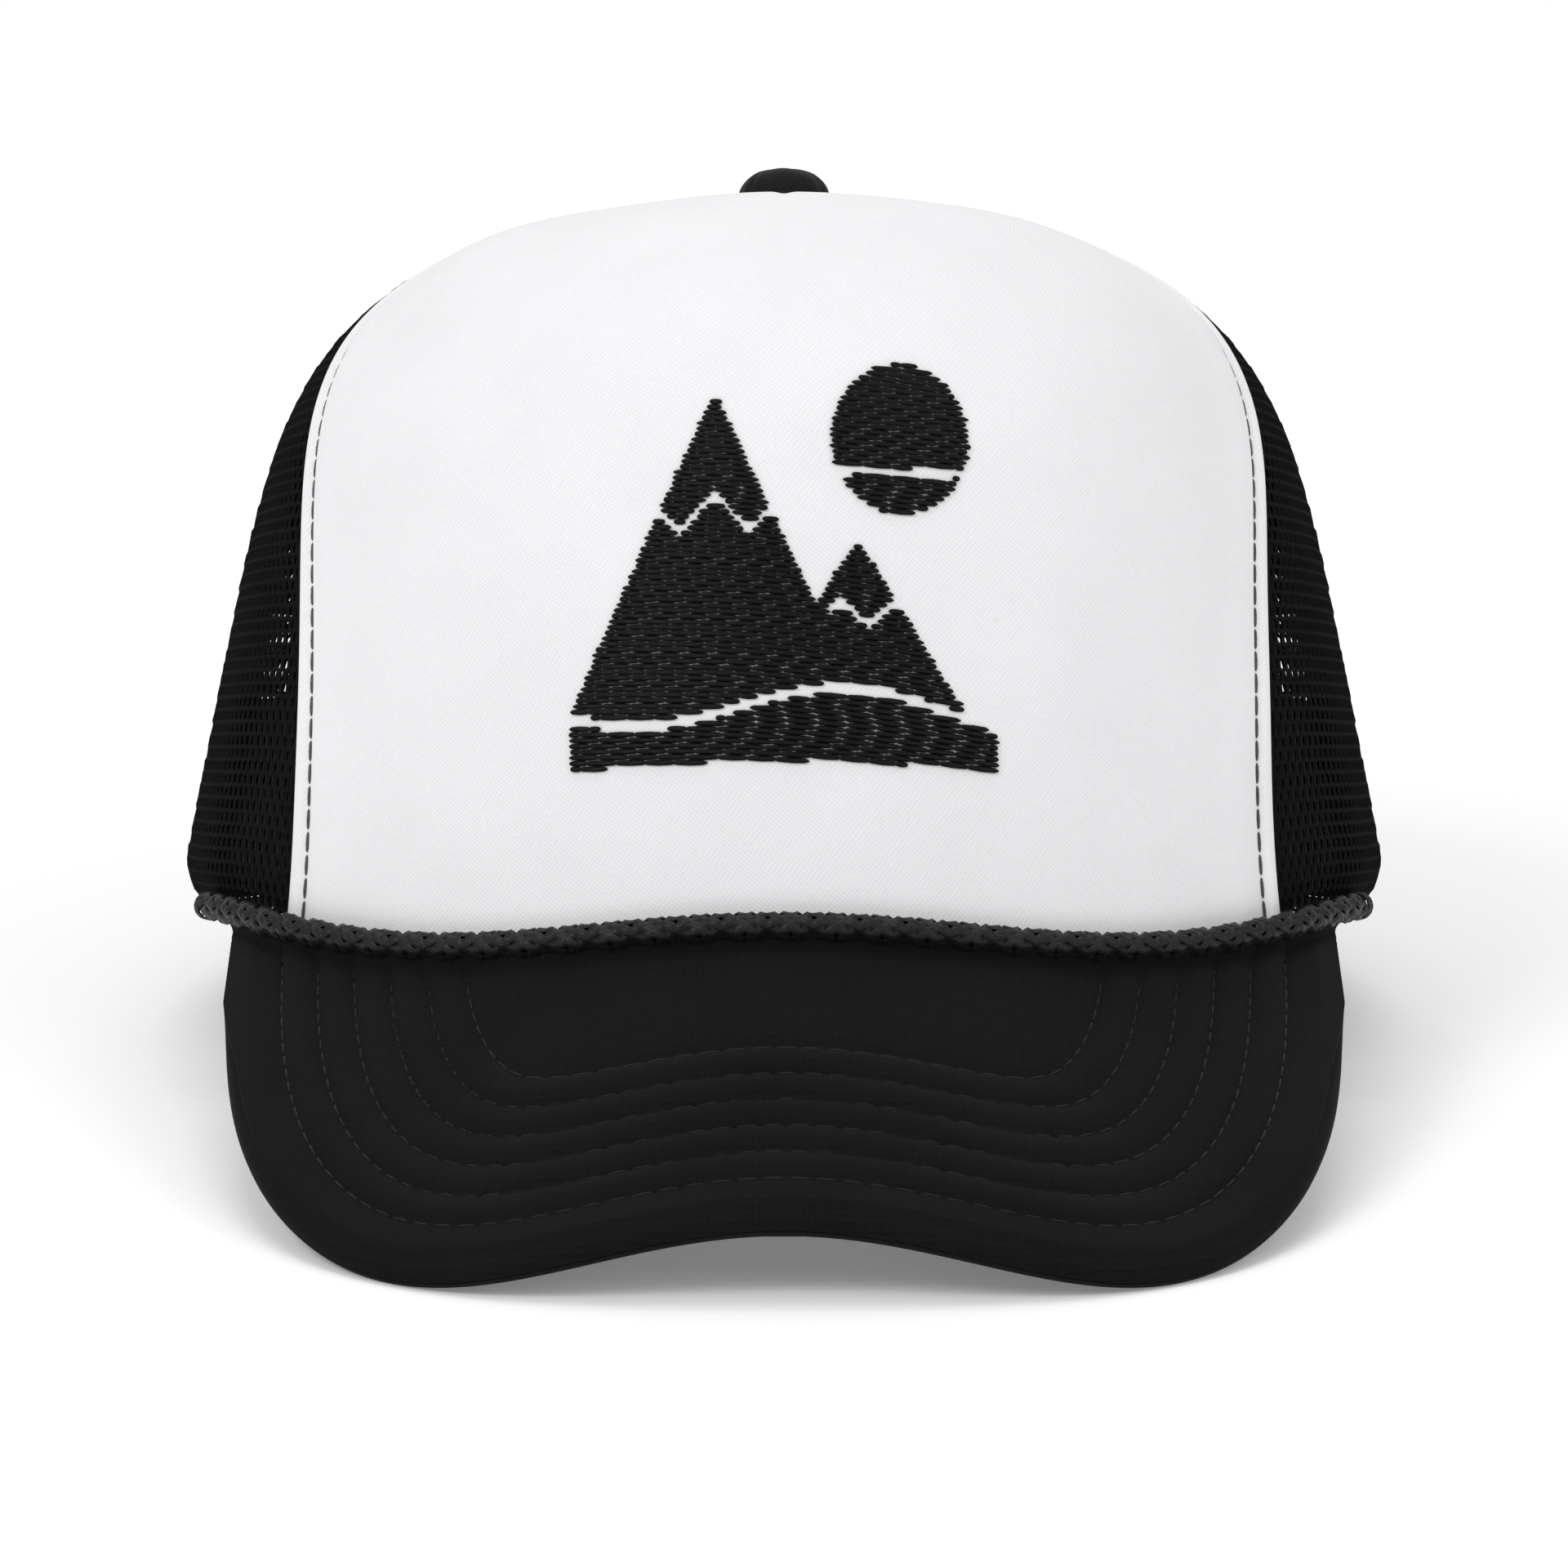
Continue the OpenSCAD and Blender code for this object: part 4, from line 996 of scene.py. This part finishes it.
# ---- button ----
button = {"diameter": 13.8 * mm, "height": 5.6 * mm, "floor": 0.5 * mm, "pleats": 14}


def buildButton():
    slope = math.atan2(crown["frontRise"], crown["halfLength"])
    seat = np.array([0, 0, float(crownPoint(-90.0, 1.0)[..., 2])])
    turn = np.linspace(0, 2 * math.pi, 97)[:-1]
    beta = np.radians(np.concatenate([np.linspace(0, 86, 24), [89.2]]))
    rings = []
    for b in beta:
        pleat = 0.12 * mm * math.cos(b) ** 2 * np.cos(turn * button["pleats"] + 1.4 * np.sin(turn * 3))
        crease = 0.07 * mm * np.sin(turn * 5 + 3 * b) * math.sin(2 * b)
        r = button["diameter"] / 2 * math.cos(b) ** 0.8 + pleat
        z = button["floor"] + 0.8 * mm + (button["height"] - 0.8 * mm) * math.sin(b) ** 0.9 + crease
        rings.append(np.stack([r * np.cos(turn), r * np.sin(turn), z], -1))
    foot = rings[0].copy()
    foot[:, :2] *= 0.93
    foot[:, 2] = button["floor"]
    under = foot.copy()
    under[:, :2] *= 0.88
    body = np.stack([under, foot] + rings)
    spot = body.copy()
    spot[..., 1] = body[..., 1] * math.cos(slope) + body[..., 2] * math.sin(slope)
    spot[..., 2] = body[..., 2] * math.cos(slope) - body[..., 1] * math.sin(slope)
    spot = stand(spot + seat)
    n = len(turn)
    faces = []
    for i in range(len(spot) - 1):
        for j in range(n):
            m = (j + 1) % n
            faces.append((i * n + j, i * n + m, (i + 1) * n + m, (i + 1) * n + j))
    faces.append(tuple(range(n - 1, -1, -1)))
    faces.append(tuple((len(spot) - 1) * n + j for j in range(n)))
    piece = addMesh("button_cloth", spot.reshape(-1, 3), faces)
    fixNormals(piece)
    finishPiece(piece, finishes["buttonCloth"], ["button_cover"])


buildButton()

# ---- emblem: hills under a round sun, in rows of thread ----
emblem = {"width": 62 * mm, "height": 52 * mm, "foot": 22 * mm, "rowPitch": 0.72 * mm, "stitch": 4.2 * mm,
          "thread": 0.86 * mm, "lift": 0.3 * mm, "sunRadius": 0.16, "sunPlace": 0.27, "tilt": 0.05, "gap": 1.3 * mm}


def skyline(x):
    share = x / emblem["width"]
    first = 0.92 - np.abs(share + 0.16) * 0.92 / 0.4
    second = 0.55 - np.abs(share - 0.17) * 0.55 / 0.33
    return emblem["height"] * np.maximum(0.12, np.maximum(first, second))


def inEmblem(x, z):
    radius = emblem["sunRadius"] * emblem["width"]
    sunX, sunZ = emblem["sunPlace"] * emblem["width"], emblem["height"] - radius
    sun = (x - sunX) ** 2 + (z - sunZ) ** 2 < radius ** 2
    sun &= np.abs(z - sunZ + 0.45 * radius) > emblem["gap"] * 0.4
    hills = (z < skyline(x)) & (np.abs(x) < emblem["width"] / 2)
    share = x / emblem["width"]
    snow = emblem["height"] * 0.62 + 2.4 * mm * (np.abs(((x / (5 * mm)) % 2) - 1) * 2 - 1)
    low = emblem["height"] * 0.37 + 1.6 * mm * (np.abs(((x / (4 * mm)) % 2) - 1) * 2 - 1)
    left = np.abs(share + 0.16) < 0.14
    right = np.abs(share - 0.2) < 0.1
    hills &= ~(left & (np.abs(z - snow) < emblem["gap"] / 2))
    hills &= ~(right & (np.abs(z - low) < emblem["gap"] / 2))
    field = emblem["height"] * 0.14 + 2.2 * mm * np.sin(x / (9 * mm) + 0.6)
    hills &= ~(np.abs(z - field) < emblem["gap"] / 2)
    return sun | hills


def emblemSpot(x, z, d):
    t = tAtHeight(emblem["foot"] + z)
    taper = 1 - crown["frontLean"] / crown["halfLength"] * heightShare(t)
    a = -90 + np.degrees(x / (ringRadius(t) * taper))
    return shellPoint(a, t, frontOffset(a, t) + d), crownNormal(a, t)


def buildEmblem():
    starts, ends, lifts = [], [], []
    half = emblem["width"] / 2
    for row in range(int(emblem["height"] * 1.1 / emblem["rowPitch"])):
        level = row * emblem["rowPitch"] - 2 * mm
        x = np.arange(-half - mm, half + mm, 0.1 * mm)
        z = level - emblem["tilt"] * x
        solid = inEmblem(x, z) & (z > 0)
        edges = np.flatnonzero(np.diff(np.concatenate([[0], solid.astype(int), [0]])))
        for begin, finish in zip(edges[::2], edges[1::2]):
            left = x[begin] - abs(rng.normal(0, 0.22 * mm))
            right = x[finish - 1] + abs(rng.normal(0, 0.22 * mm))
            if right - left < 0.9 * mm:
                continue
            cut = left + (row % 3) * emblem["stitch"] / 3 - emblem["stitch"]
            marks = [left]
            while cut < right:
                if cut > left + 0.8 * mm and cut < right - 0.8 * mm:
                    marks.append(cut)
                cut += emblem["stitch"] * (1 + rng.uniform(-0.06, 0.06))
            marks.append(right)
            marks = np.array(marks)
            zs = level - emblem["tilt"] * marks
            spot, n = emblemSpot(marks, zs, np.full(len(marks), emblem["lift"]))
            spot, n = stand(spot), n @ crownWays
            for k in range(len(marks) - 1):
                reach = (spot[k + 1] - spot[k]) * 0.06
                starts.append(spot[k] - reach)
                ends.append(spot[k + 1] + reach)
                lifts.append(n[k])
    addStitches("emblem_thread", starts, ends, lifts, emblem["thread"], 0.62 * mm,
                finishes["satinThread"], ["front_emblem"])


buildEmblem()
print("button and emblem ready")
